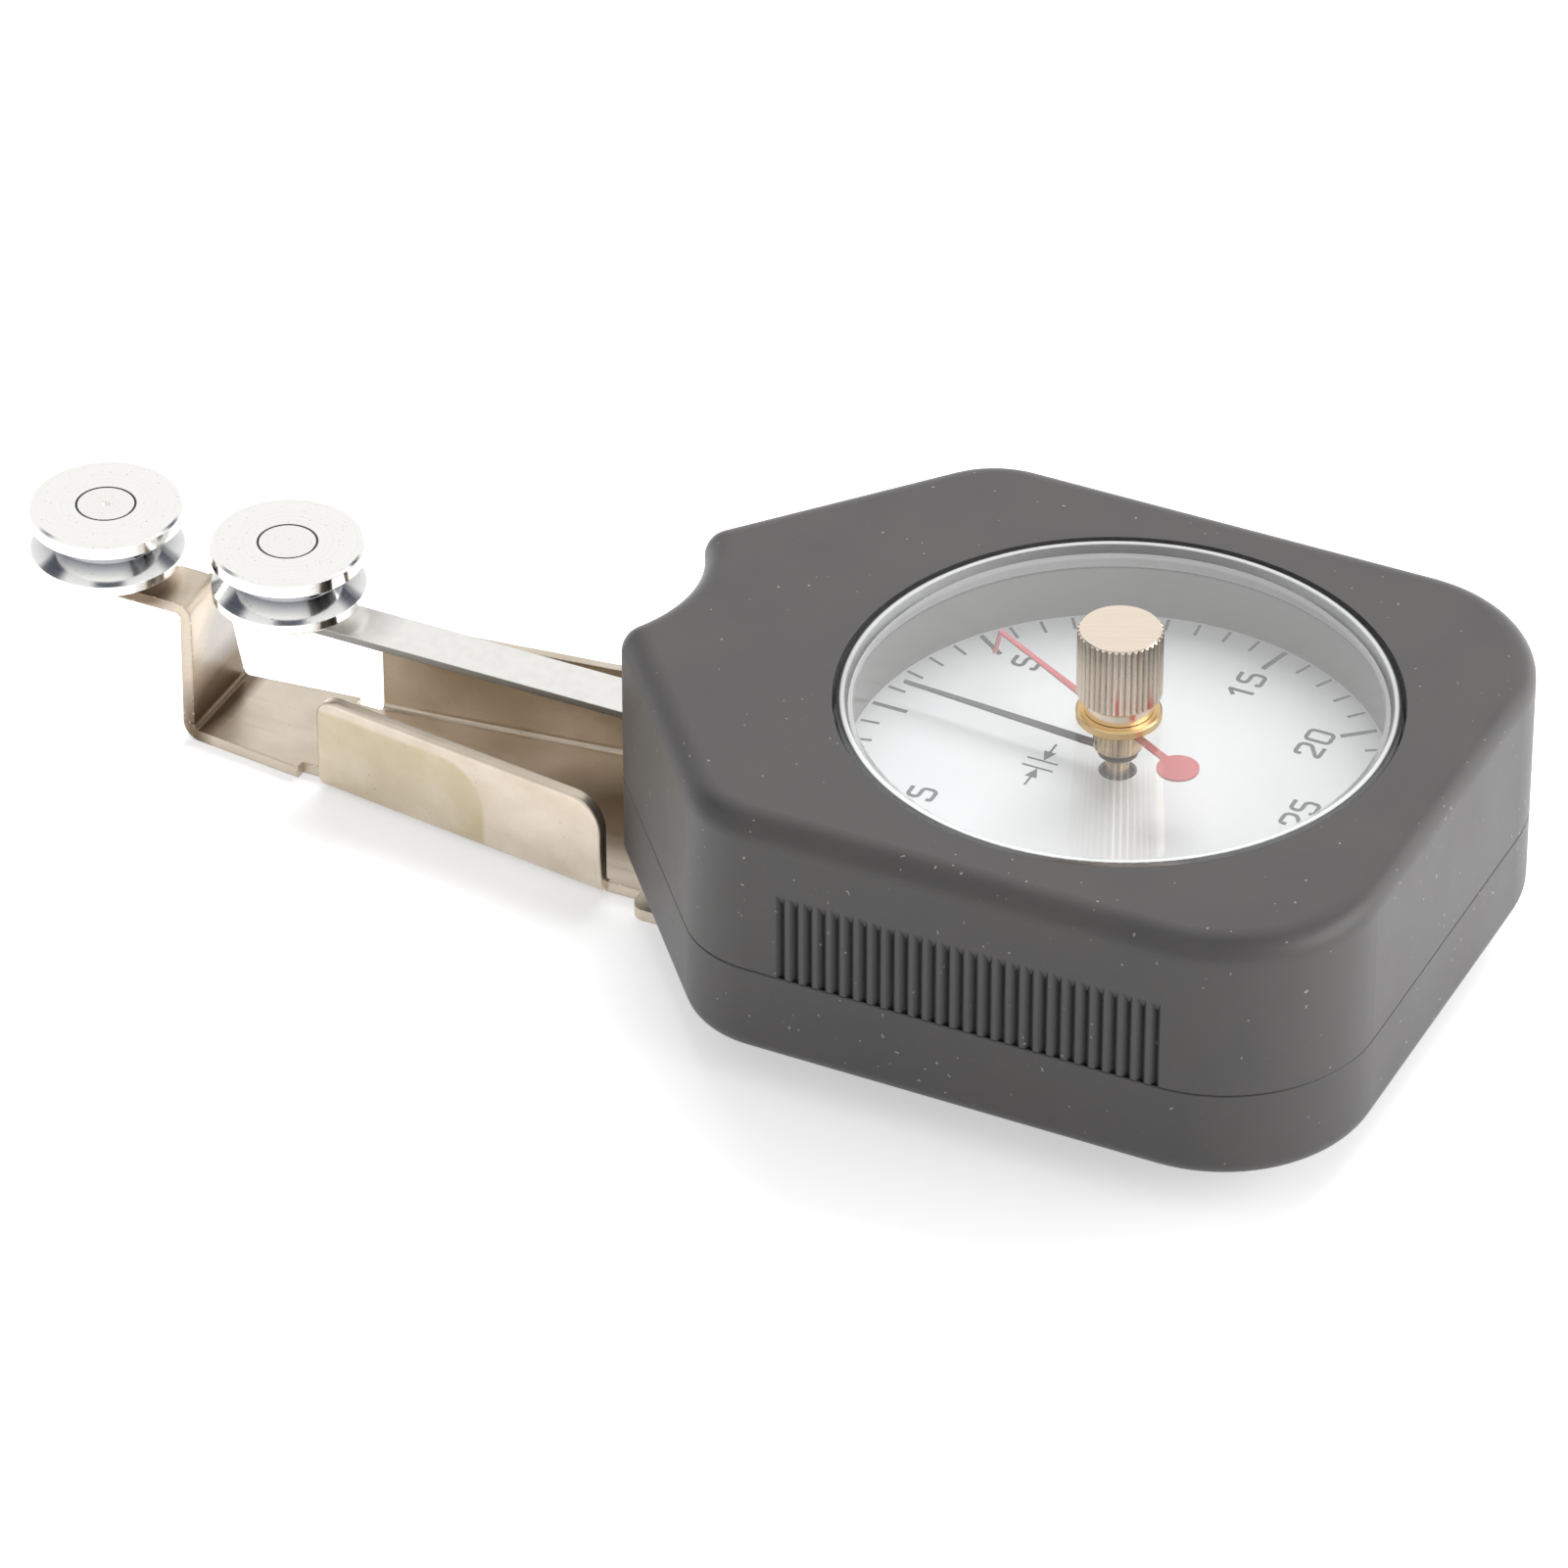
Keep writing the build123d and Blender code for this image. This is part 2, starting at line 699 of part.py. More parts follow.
def make_crystal_gasket():
    """Thin ring between the crystal and its ledge."""
    return tube(crystal_radius, crystal_radius - gasket_width, well_ledge_z, window_bottom_z)


def make_knob_collar():
    """Brass flanged bush in the middle of the window."""
    bore = knob_stem_radius + running_clearance
    edge = collar_top_z - collar_chamfer
    return turned(
        [
            (bore, window_bottom_z),
            (collar_sleeve_radius, window_bottom_z),
            (collar_sleeve_radius, window_top_z),
            (collar_radius, window_top_z),
            (collar_radius, edge),
            (collar_radius - collar_chamfer, collar_top_z),
            (bore, collar_top_z),
        ]
    )


# Dial
def make_dial_plate():
    """Dial disc with its centre hole."""
    return tube(dial_radius, dial_hole_radius, dial_bottom_z, dial_top_z)


def make_dial_scale():
    """Printed tick marks to both sides of zero."""
    outer = well_radius - body_gap
    marks = []
    for division in range(-scale_divisions, scale_divisions + 1):
        major = division % scale_major_step == 0
        length = major_tick_length if major else minor_tick_length
        half = (major_tick_width if major else minor_tick_width) / 2
        mark = block(outer - length, outer, -half, half, dial_top_z, dial_top_z + dial_print_thickness)
        marks.append(Rot(0, 0, scale_zero_angle + division * scale_division_angle) * mark)
    return marks


def make_dial_feet():
    """Three feet under the dial, each with a spigot in the top plate."""
    low = top_plate_top_z - dial_foot_spigot_length
    feet = []
    for x, y in dial_foot_places:
        foot = disc(dial_foot_radius, top_plate_top_z, dial_bottom_z, x, y)
        feet.append(foot + disc(dial_foot_spigot_radius, low, top_plate_top_z, x, y))
    return feet


# Movement frame
def plate_outline():
    """Plan of the two movement plates."""
    length = movement_front_reach + movement_rear_x
    middle = (movement_rear_x - movement_front_reach) / 2
    return Pos(middle, 0) * RectangleRounded(length, 2 * movement_half_width, movement_corner_radius)


def make_base_plate():
    """Lower movement plate with its bush, pillar, screw and pin holes."""
    plate = prism(plate_outline(), base_plate_z, base_plate_top_z)
    holes = [(pivot_x, 0, bush_radius), (0, 0, bush_radius)]
    holes += [(x, y, pillar_spigot_radius) for x, y in pillar_places]
    holes += [(x, y, mount_screw_radius) for x, y in mount_places]
    holes += [(x, y, stop_pin_radius) for x, y in stop_pin_places()]
    holes.append((spring_post_x(), 0, spring_post_radius))
    holes.append((hair_stud_x(), 0, hair_stud_radius))
    low = base_plate_z - cut_overrun
    high = base_plate_top_z + cut_overrun
    for x, y, radius in holes:
        plate -= disc(radius + seat_clearance, low, high, x, y)
    return plate


def make_top_plate():
    """Upper movement plate with its bush, screw and dial foot holes."""
    plate = prism(plate_outline(), top_plate_z, top_plate_top_z)
    holes = [(pivot_x, 0, bush_radius), (0, 0, bush_radius)]
    holes += [(x, y, plate_screw_radius) for x, y in pillar_places]
    holes += [(x, y, dial_foot_spigot_radius) for x, y in dial_foot_places]
    low = top_plate_z - cut_overrun
    high = top_plate_top_z + cut_overrun
    for x, y, radius in holes:
        plate -= disc(radius + seat_clearance, low, high, x, y)
    return plate


def make_pillars():
    """Four pillars riveted into the base plate and tapped for the top plate."""
    tap_radius = plate_screw_radius + seat_clearance
    tap_bottom = top_plate_z - plate_screw_length + movement_plate_thickness - pillar_tap_spare
    pillars = []
    for x, y in pillar_places:
        pillar = disc(pillar_radius, base_plate_top_z, top_plate_z, x, y)
        pillar += disc(pillar_spigot_radius, base_plate_z, base_plate_top_z, x, y)
        pillars.append(pillar - disc(tap_radius, tap_bottom, top_plate_z + cut_overrun, x, y))
    return pillars


def make_plate_screws():
    """Four screws through the top plate into the pillars."""
    sizes = (plate_screw_radius, plate_screw_length, plate_screw_head_radius, plate_screw_head_height)
    return [screw(place, top_plate_top_z, *sizes) for place in pillar_places]


def make_mount_screws():
    """Four screws that hold the movement down on the posts in the lower shell."""
    sizes = (mount_screw_radius, mount_screw_length, mount_screw_head_radius, mount_screw_head_height)
    return [screw(place, base_plate_top_z, *sizes) for place in mount_places]


def make_staff_bushes():
    """Brass bushes for the lever staff in both plates."""
    bore = staff_pivot_radius + running_clearance
    low = tube(bush_radius, bore, base_plate_z, base_plate_top_z, pivot_x)
    return [low, tube(bush_radius, bore, top_plate_z, top_plate_top_z, pivot_x)]


def make_arbor_bushes():
    """Brass bushes for the pointer arbor in both plates."""
    low = tube(bush_radius, arbor_pivot_radius + running_clearance, base_plate_z, base_plate_top_z)
    return [low, tube(bush_radius, arbor_radius + running_clearance, top_plate_z, top_plate_top_z)]


def stop_pin_places():
    """Where the pins stand that the sector's straight edges meet at the lever's limits."""
    contact = degrees(asin((stop_pin_radius + running_clearance) / stop_pin_reach))
    places = []
    for side, limit in ((1, lever_limit_forward), (-1, lever_limit_backward)):
        angle = radians(side * (half_sector_angle + limit + contact))
        places.append((pivot_x + stop_pin_reach * cos(angle), stop_pin_reach * sin(angle)))
    return places


def make_stop_pins():
    """Two pins that end the lever's swing."""
    top = sector_top_z + body_gap
    return [disc(stop_pin_radius, base_plate_z, top, x, y) for x, y in stop_pin_places()]


# Springs, each a flat strip wound in half turns that alternate between two centres
def first_coil_radius(collet_radius, thickness, pitch):
    """Radius of the first half turn, just clear of its collet."""
    return collet_radius + spring_running_gap + thickness / 2 + pitch / 4


def last_coil_end(collet_radius, thickness, pitch, turns):
    """Distance from the axis to the middle of the strip at its outer end."""
    first = first_coil_radius(collet_radius, thickness, pitch)
    return first + (2 * turns - 1) * pitch / 2 + pitch / 4


def wound_strip(collet_radius, thickness, pitch, turns, width, low, x):
    """Spiral strip of whole turns that ends on the +X side of its axis."""
    strip = None
    for half_turn in range(2 * turns):
        radius = first_coil_radius(collet_radius, thickness, pitch) + half_turn * pitch / 2
        side = -1 if half_turn % 2 == 0 else 1
        ring = Circle(radius + thickness / 2) - Circle(radius - thickness / 2)
        reach = radius + pitch
        half_plane = Pos(0, -side * reach / 2) * Rectangle(2 * reach, reach)
        half_ring = prism(ring & half_plane, low, low + width)
        placed = Pos(x + side * pitch / 4, 0, 0) * half_ring
        strip = placed if strip is None else strip + placed
    return strip


def spring_post_x():
    """Place of the post that the measuring spring's outer end is fixed to."""
    end = last_coil_end(spring_collet_radius, spring_thickness, spring_pitch, spring_turns)
    return pivot_x + end + spring_thickness / 2 + spring_post_radius + seat_clearance


def hair_stud_x():
    """Place of the stud that the hairspring's outer end is fixed to."""
    end = last_coil_end(hair_collet_radius, hair_thickness, hair_pitch, hair_turns)
    return end + hair_thickness / 2 + hair_stud_radius + seat_clearance


def make_measuring_spring():
    """Flat spiral spring that the line's pull works against."""
    sizes = (spring_collet_radius, spring_thickness, spring_pitch, spring_turns, spring_width)
    return wound_strip(*sizes, spring_z, pivot_x)


def make_hairspring():
    """Fine spiral spring that takes up the play in the gears."""
    sizes = (hair_collet_radius, hair_thickness, hair_pitch, hair_turns, hair_width)
    return wound_strip(*sizes, hair_z, 0)


def make_spring_post():
    """Post in the base plate beside the measuring spring's outer end."""
    top = spring_z + spring_width + body_gap
    return disc(spring_post_radius, base_plate_z, top, spring_post_x())


def make_hairspring_stud():
    """Stud in the base plate beside the hairspring's outer end."""
    return disc(hair_stud_radius, base_plate_z, hair_z + hair_width + body_gap, hair_stud_x())


# Lever group
def lever_rivet_places():
    """Rivets to both sides of the lever staff."""
    return [(pivot_x, side * lever_rivet_spacing / 2) for side in (-1, 1)]


def with_lever_holes(piece, low, high):
    """Piece of the lever with holes for the staff and the rivets."""
    holes = [(pivot_x, 0, staff_radius)]
    holes += [(x, y, lever_rivet_radius) for x, y in lever_rivet_places()]
    for x, y, radius in holes:
        piece -= disc(radius + seat_clearance, low - cut_overrun, high + cut_overrun, x, y)
    return piece


def make_lever_arm():
    """Flat bar from the staff out to the moving pulley."""
    arm = disc(lever_half_width, lever_bottom_z, lever_top_z, -lever_reach)
    arm += block(-lever_reach, pivot_x, -lever_half_width, lever_half_width, lever_bottom_z, lever_top_z)
    arm += disc(lever_boss_radius, lever_bottom_z, lever_top_z, pivot_x)
    axle_hole = axle_radius + seat_clearance
    arm -= disc(axle_hole, lever_bottom_z - cut_overrun, lever_top_z + cut_overrun, -lever_reach)
    return with_lever_holes(arm, lever_bottom_z, lever_top_z)


def make_lever_hub():
    """Round hub under the bar."""
    hub = disc(lever_boss_radius, lever_hub_bottom_z, lever_bottom_z, pivot_x)
    return with_lever_holes(hub, lever_hub_bottom_z, lever_bottom_z)


def make_lever_rivets():
    """Two rivets through hub, bar and sector."""
    return [disc(lever_rivet_radius, lever_hub_bottom_z, sector_top_z, x, y) for x, y in lever_rivet_places()]


def make_lever_staff():
    """Upright staff that the lever turns on, with a pivot at each end."""
    return turned(
        [
            (0, base_plate_z + end_shake),
            (staff_pivot_radius, base_plate_z + end_shake),
            (staff_pivot_radius, base_plate_top_z + end_shake),
            (staff_radius, base_plate_top_z + end_shake),
            (staff_radius, top_plate_z - end_shake),
            (staff_pivot_radius, top_plate_z - end_shake),
            (staff_pivot_radius, top_plate_top_z - end_shake),
            (0, top_plate_top_z - end_shake),
        ],
        pivot_x,
    )


def make_spring_collet():
    """Collet on the staff that the measuring spring's inner end is fixed to."""
    bore = staff_radius + seat_clearance
    return tube(spring_collet_radius, bore, spring_z, spring_z + spring_width, pivot_x)


def tooth_points(pitch_radius, tooth_angle):
    """Outline of one gear tooth, from its root on one side to its root on the other."""
    width = pi * gear_module
    levels = (
        (pitch_radius - tooth_dedendum_share * gear_module, tooth_root_width_share),
        (pitch_radius, tooth_pitch_width_share),
        (pitch_radius + tooth_addendum_share * gear_module, tooth_tip_width_share),
    )
    points = []
    for side, steps in ((-1, levels), (1, reversed(levels))):
        for radius, share in steps:
            angle = radians(tooth_angle) + side * share * width / (2 * pitch_radius)
            points.append((radius * cos(angle), radius * sin(angle)))
    return points


def sector_window(side):
    """Lightening window between the sector's middle spoke and one of its edges."""
    half_sector = radians(half_sector_angle)
    root_radius = sector_pitch_radius - tooth_dedendum_share * gear_module
    inner = lever_boss_radius + sector_spoke_width
    outer = root_radius - sector_rim_width
    half_spoke = sector_spoke_width / 2
    apex = (sector_spoke_width + half_spoke * cos(half_sector)) / sin(half_sector)
    far = (apex + outer * cos(half_sector), half_spoke + outer * sin(half_sector))
    wedge = polygon([(apex, side * half_spoke), (apex + outer, side * half_spoke), (far[0], side * far[1])])
    return wedge & (Circle(outer) - Circle(inner))


def make_sector_gear():
    """Toothed sector riveted on the lever, with a tooth on the line to the pointer arbor."""
    first = -(sector_cut_teeth - 1) / 2
    contour = [(0, 0)]
    for index in range(sector_cut_teeth):
        contour += tooth_points(sector_pitch_radius, (first + index) * sector_tooth_angle)
    plan = polygon(contour) + Circle(lever_boss_radius)
    for side in (-1, 1):
        plan -= sector_window(side)
    sector = Pos(pivot_x) * prism(plan, lever_top_z, sector_top_z)
    return with_lever_holes(sector, lever_top_z, sector_top_z)


# Pointer group
def make_pinion():
    """Small gear on the arbor, with a gap towards the sector."""
    step = 360 / pinion_teeth
    contour = []
    for index in range(pinion_teeth):
        contour += tooth_points(pinion_pitch_radius, (index + 1 / 2) * step)
    middle = (lever_top_z + sector_top_z) / 2
    low = middle - pinion_thickness / 2
    pinion = prism(polygon(contour), low, low + pinion_thickness)
    return pinion - disc(arbor_radius + seat_clearance, low - cut_overrun, sector_top_z + cut_overrun)


def make_pointer_arbor():
    """Upright arbor of the main hand, from the base plate up through the dial."""
    collar_high = top_plate_z - end_shake
    return turned(
        [
            (0, base_plate_z + end_shake),
            (arbor_pivot_radius, base_plate_z + end_shake),
            (arbor_pivot_radius, base_plate_top_z + end_shake),
            (arbor_radius, base_plate_top_z + end_shake),
            (arbor_radius, collar_high - arbor_collar_height),
            (arbor_collar_radius, collar_high - arbor_collar_height),
            (arbor_collar_radius, collar_high),
            (arbor_radius, collar_high),
            (arbor_radius, main_hand_top_z),
            (0, main_hand_top_z),
        ]
    )


def make_hairspring_collet():
    """Collet on the arbor that the hairspring's inner end is fixed to."""
    return tube(hair_collet_radius, arbor_radius + seat_clearance, hair_z, hair_z + hair_width)


def make_main_hand_bush():
    """Bush that lifts the main hand above the dial."""
    low = top_plate_top_z + body_gap
    return tube(hand_bush_radius, arbor_radius + seat_clearance, low, main_hand_z)


def needle(reach, root_width, tip_width):
    """Tapered needle along +X from the axis."""
    root = root_width / 2
    tip = tip_width / 2
    return polygon([(0, -root), (reach, -tip), (reach, tip), (0, root)])


def make_main_hand():
    """Black needle with a round boss."""
    plan = needle(main_hand_reach, main_hand_root_width, main_hand_tip_width)
    plan += Circle(main_hand_boss_radius)
    plan -= Circle(arbor_radius + seat_clearance)
    return Rot(0, 0, main_hand_angle) * prism(plan, main_hand_z, main_hand_top_z)


# Peak hand group
def peak_finger():
    """Bent tip that the main hand pushes, cut short above it so that both hands can turn freely."""
    low = main_hand_top_z + peak_finger_gap
    high = peak_hand_z + hand_thickness
    side_view = polygon(
        [
            (peak_hand_reach - hand_thickness, high),
            (peak_hand_reach, high),
            (peak_hand_reach + peak_finger_run, low),
            (peak_hand_reach + peak_finger_run - hand_thickness, low),
        ]
    )
    return extrude(Plane.XZ * side_view, amount=peak_hand_tip_width / 2, both=True)


def make_peak_hand():
    """Red needle that stays at the highest reading, with a disc on its tail."""
    plan = needle(peak_hand_reach, peak_hand_root_width, peak_hand_tip_width)
    plan += Pos(-peak_tail_reach / 2, 0) * Rectangle(peak_tail_reach, peak_hand_root_width)
    plan += Pos(-peak_tail_reach, 0) * Circle(peak_tail_disc_radius)
    plan += Circle(peak_hand_ring_radius)
    plan -= Circle(peak_hub_nib_radius + seat_clearance)
    hand = prism(plan, peak_hand_z, peak_hand_z + hand_thickness) + peak_finger()
    return Rot(0, 0, peak_hand_angle) * hand


def make_peak_hand_hub():
    """Nickel hub under the window that carries the peak hand."""
    bore = knob_stem_radius + seat_clearance
    return turned(
        [
            (bore, peak_hub_bottom_z),
            (peak_hub_radius - peak_hub_chamfer, peak_hub_bottom_z),
            (peak_hub_radius, peak_hub_bottom_z + peak_hub_chamfer),
            (peak_hub_radius, peak_hand_z),
            (peak_hub_nib_radius, peak_hand_z),
            (peak_hub_nib_radius, peak_hub_top_z),
            (bore, peak_hub_top_z),
        ]
    )


def make_knob_stem():
    """Stem from the knob down through the collar into the hub."""
    low = peak_hub_bottom_z + knob_stem_end_gap
    return disc(knob_stem_radius, low, knob_bottom_z + knob_stem_engagement)


def make_reset_knob():
    """Straight knurled knob with a plain neck."""
    root_radius = knob_radius - knob_knurl_depth
    count = 2 * knob_knurl_count
    ridges = []
    for index in range(count):
        radius = knob_radius if index % 2 == 0 else root_radius
        angle = 2 * pi * index / count
        ridges.append((radius * cos(angle), radius * sin(angle)))
    envelope = turned(
        [
            (0, knob_bottom_z),
            (knob_neck_radius, knob_bottom_z),
            (knob_neck_radius, knob_flare_z),
            (knob_radius, knob_knurl_z),
            (knob_radius, knob_top_z - knob_top_chamfer),
            (knob_radius - knob_top_chamfer, knob_top_z),
            (0, knob_top_z),
        ]
    )
    knob = prism(polygon(ridges), knob_bottom_z, knob_top_z) & envelope
    bore_top = knob_bottom_z + knob_stem_engagement + knob_stem_end_gap
    return knob - disc(knob_stem_radius + seat_clearance, knob_bottom_z - cut_overrun, bore_top)


# Pulleys and their axles
def make_pulley(x, y):
    """V groove pulley with a recess in its top for the axle's head."""
    rim = pulley_radius - pulley_edge_chamfer
    root = pulley_radius - groove_depth
    flank = (groove_opening - groove_root_width) / 2
    groove_low = pulley_bottom_z + pulley_bottom_rim
    groove_high = pulley_top_z - pulley_top_rim
    recess_radius = axle_head_radius + axle_head_gap
    recess_bottom = pulley_top_z - axle_head_height - running_clearance
    bore = pulley_bush_radius + seat_clearance
    return turned(
        [
            (bore, pulley_bottom_z),
            (rim, pulley_bottom_z),
            (pulley_radius, pulley_bottom_z + pulley_edge_chamfer),
            (pulley_radius, groove_low),
            (root, groove_low + flank),
            (root, groove_high - flank),
            (pulley_radius, groove_high),
            (pulley_radius, pulley_top_z - pulley_edge_chamfer),
            (rim, pulley_top_z),
            (recess_radius, pulley_top_z),
            (recess_radius, recess_bottom),
            (bore, recess_bottom),
        ],
        x,
        y,
    )


def make_pulley_bush(x, y):
    """Bronze sleeve pressed into the pulley."""
    top = pulley_top_z - axle_head_height - running_clearance
    return tube(pulley_bush_radius, axle_radius + running_clearance, pulley_bottom_z, top, x, y)


def make_axle(x, y, seat_bottom):
    """Headed axle, flush with the pulley's top and riveted under the part that carries it."""
    axle = disc(axle_radius, seat_bottom, pulley_top_z, x, y)
    axle += disc(axle_head_radius, pulley_top_z - axle_head_height, pulley_top_z, x, y)
    return axle + disc(axle_rivet_radius, seat_bottom - axle_rivet_height, seat_bottom, x, y)


def make_fixed_pulley_axle():
    """Axle in the bracket's tab, with the small dimple of its turning centre."""
    axle = make_axle(-fixed_pulley_reach, fixed_pulley_y, lever_top_z - sheet_thickness)
    low = pulley_top_z - axle_head_dimple_depth
    high = pulley_top_z + cut_overrun
    return axle - disc(axle_head_dimple_radius, low, high, -fixed_pulley_reach, fixed_pulley_y)


def make_washer(x, y):
    """Washer that carries the pulley clear of the metal under it."""
    return tube(pulley_washer_radius, axle_radius + seat_clearance, lever_top_z, washer_top_z, x, y)


parts = {
    "top_case": make_top_case(),
    "bottom_case": make_bottom_case(),
    "case_screws": make_case_screws(),
    "bracket": make_bracket(),
    "bracket_standoffs": make_bracket_standoffs(),
    "bracket_screws": make_bracket_screws(),
    "crystal": make_crystal(),
    "crystal_gasket": make_crystal_gasket(),
    "knob_collar": make_knob_collar(),
    "dial_plate": make_dial_plate(),
    "dial_scale": make_dial_scale(),
    "dial_feet": make_dial_feet(),
    "base_plate": make_base_plate(),
    "top_plate": make_top_plate(),
    "movement_pillars": make_pillars(),
    "plate_screws": make_plate_screws(),
    "mount_screws": make_mount_screws(),
    "staff_bushes": make_staff_bushes(),
    "arbor_bushes": make_arbor_bushes(),
    "stop_pins": make_stop_pins(),
    "measuring_spring": make_measuring_spring(),
    "spring_post": make_spring_post(),
    "hairspring": make_hairspring(),
    "hairspring_stud": make_hairspring_stud(),
    "lever_arm": make_lever_arm(),
    "lever_hub": make_lever_hub(),
    "lever_rivets": make_lever_rivets(),
    "lever_staff": make_lever_staff(),
    "spring_collet": make_spring_collet(),
    "sector_gear": make_sector_gear(),
    "pinion": make_pinion(),
    "pointer_arbor": make_pointer_arbor(),
    "hairspring_collet": make_hairspring_collet(),
    "main_hand_bush": make_main_hand_bush(),
    "main_hand": make_main_hand(),
    "peak_hand": make_peak_hand(),
    "peak_hand_hub": make_peak_hand_hub(),
    "knob_stem": make_knob_stem(),
    "reset_knob": make_reset_knob(),
    "fixed_pulley": make_pulley(-fixed_pulley_reach, fixed_pulley_y),
    "fixed_pulley_bush": make_pulley_bush(-fixed_pulley_reach, fixed_pulley_y),
    "fixed_pulley_axle": make_fixed_pulley_axle(),
    "fixed_pulley_washer": make_washer(-fixed_pulley_reach, fixed_pulley_y),
    "lever_pulley": make_pulley(-lever_reach, 0),
    "lever_pulley_bush": make_pulley_bush(-lever_reach, 0),
    "lever_pulley_axle": make_axle(-lever_reach, 0, lever_bottom_z),
    "lever_pulley_washer": make_washer(-lever_reach, 0),
}

os.makedirs("parts", exist_ok=True)
for node, made in parts.items():
    pieces = made if isinstance(made, list) else [made]
    solids = [solid for piece in pieces for solid in piece.solids()]
    whole = solids[0] if len(solids) == 1 else Compound(children=solids)
    whole.label = node
    export_step(whole, f"parts/{node}.step")
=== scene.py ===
import json
from math import cos, radians, sin, tan

import bmesh
import bpy
from mathutils import Matrix, Vector


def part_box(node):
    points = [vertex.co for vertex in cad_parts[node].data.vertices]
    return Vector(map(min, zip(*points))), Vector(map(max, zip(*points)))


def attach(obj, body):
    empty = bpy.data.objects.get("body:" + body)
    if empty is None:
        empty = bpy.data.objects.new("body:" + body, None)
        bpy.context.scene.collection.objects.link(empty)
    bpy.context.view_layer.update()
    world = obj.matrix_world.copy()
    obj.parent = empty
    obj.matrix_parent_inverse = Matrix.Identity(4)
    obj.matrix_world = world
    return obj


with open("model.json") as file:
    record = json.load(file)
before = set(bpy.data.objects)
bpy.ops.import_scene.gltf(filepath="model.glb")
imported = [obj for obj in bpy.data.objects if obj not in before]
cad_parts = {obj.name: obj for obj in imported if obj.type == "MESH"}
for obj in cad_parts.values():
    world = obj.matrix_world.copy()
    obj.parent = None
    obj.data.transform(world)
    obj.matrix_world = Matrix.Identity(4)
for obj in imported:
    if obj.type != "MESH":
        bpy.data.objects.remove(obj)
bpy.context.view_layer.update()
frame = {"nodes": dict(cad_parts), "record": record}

bl_info = {
    "name": "Dial tension gauge",
    "version": (1, 0, 0),
    "blender": (4, 5, 0),
    "location": "3D View > Sidebar > Gauge",
    "description": "Finishes, dial printing and a studio for a pocket dial tension gauge",
    "category": "Object",
}

MM = 0.001
NODES = frame["nodes"]
# Spacing, in millimetres, along an axis that a pattern runs straight through.
FAR = 1e6
# The dial's axis stands on the frame's origin.
DIAL_AXIS = (0, 0, 0)
# A mix node's setting for colours.
COLOURS = {"data_type": "RGBA"}
WHITE = (1, 1, 1, 1)


def linear(code):
    """Linear colour with alpha from an sRGB hex code."""
    steps = [int(code[i:i + 2], 16) / 255 for i in (0, 2, 4)]
    return (*[c / 12.92 if c <= 0.04045 else ((c + 0.055) / 1.055) ** 2.4 for c in steps], 1.0)


def grey(level):
    """Colour with alpha from one level."""
    return (level, level, level, 1)


def add_node(tree, kind, settings=(), sockets=()):
    """Adds a shader node, sets its properties and colour stops, and fills sockets with values, nodes or outputs."""
    node = tree.nodes.new(f"ShaderNode{kind}")
    for key, value in dict(settings).items():
        if key == "stops":
            elements = node.color_ramp.elements
            while len(elements) < len(value):
                elements.new(0.5)
            for element, (spot, colour) in zip(elements, value):
                element.position = spot
                element.color = grey(colour) if isinstance(colour, (int, float)) else colour
        else:
            setattr(node, key, value)
    for key, value in dict(sockets).items():
        if isinstance(value, bpy.types.Node):
            value = next(output for output in value.outputs if output.enabled)
        if isinstance(value, bpy.types.NodeSocket):
            tree.links.new(value, node.inputs[key])
        else:
            node.inputs[key].default_value = value
    return node


def start_material(name):
    """New empty material and its node tree."""
    material = bpy.data.materials.new(name)
    material.use_nodes = True
    material.node_tree.nodes.clear()
    return material, material.node_tree


def place(tree, spacing, origin=(0, 0, 0), turn=0.0):
    """Object coordinates from an origin, turned about Z, with one unit every so many millimetres per axis."""
    sockets = {
        "Vector": add_node(tree, "TexCoord").outputs["Object"], "Location": [v * MM for v in origin],
        "Rotation": (0, 0, turn), "Scale": [v * MM for v in spacing],
    }
    return add_node(tree, "Mapping", {"vector_type": "TEXTURE"}, sockets)


def distance(tree, spot, spacing):
    """How far a point is from a spot, with one unit every so many millimetres per axis."""
    return add_node(tree, "VectorMath", {"operation": "LENGTH"}, {0: place(tree, spacing, spot)})


def distance_out(tree, axis, unit):
    """How far a point is from an upright axis, in units of so many millimetres."""
    return distance(tree, axis, (unit, unit, FAR))


def grain(tree, spacing, detail=3.0, turn=0.0):
    """Random grain with one feature every so many millimetres along each axis."""
    where = place(tree, spacing, turn=turn)
    return add_node(tree, "TexNoise", {}, {"Vector": where, "Scale": 1.0, "Detail": detail})


def turning_marks(tree, axis, pitch, detail=3.0):
    """Rings that a lathe tool leaves round an axis, one every so many millimetres."""
    out = distance_out(tree, axis, pitch)
    return add_node(tree, "TexNoise", {"noise_dimensions": "1D"}, {"W": out, "Scale": 1.0, "Detail": detail})


def edge_shade_and_glints(tree, reach):
    """Masks of the band within a reach of an edge, where shade is painted, and of the flecks in it painted bright as
    glints.
    """
    soft = add_node(tree, "Bevel", {}, {"Radius": reach * MM})
    true = add_node(tree, "NewGeometry").outputs["Normal"]
    bend = add_node(tree, "VectorMath", {"operation": "DOT_PRODUCT"}, {0: soft, 1: true})
    band = add_node(tree, "ValToRGB", {"stops": [(0.9, 1), (0.985, 0)]}, {"Fac": bend})
    # Painted glints about 0.35 mm apart.
    glint_specks = grain(tree, (0.35, 0.35, 0.35), detail=2.0)
    glint_specks = add_node(tree, "ValToRGB", {"stops": [(0.58, 0), (0.7, 0.8)]}, {"Fac": glint_specks})
    return band, add_node(tree, "Math", {"operation": "MULTIPLY"}, {0: band, 1: glint_specks})


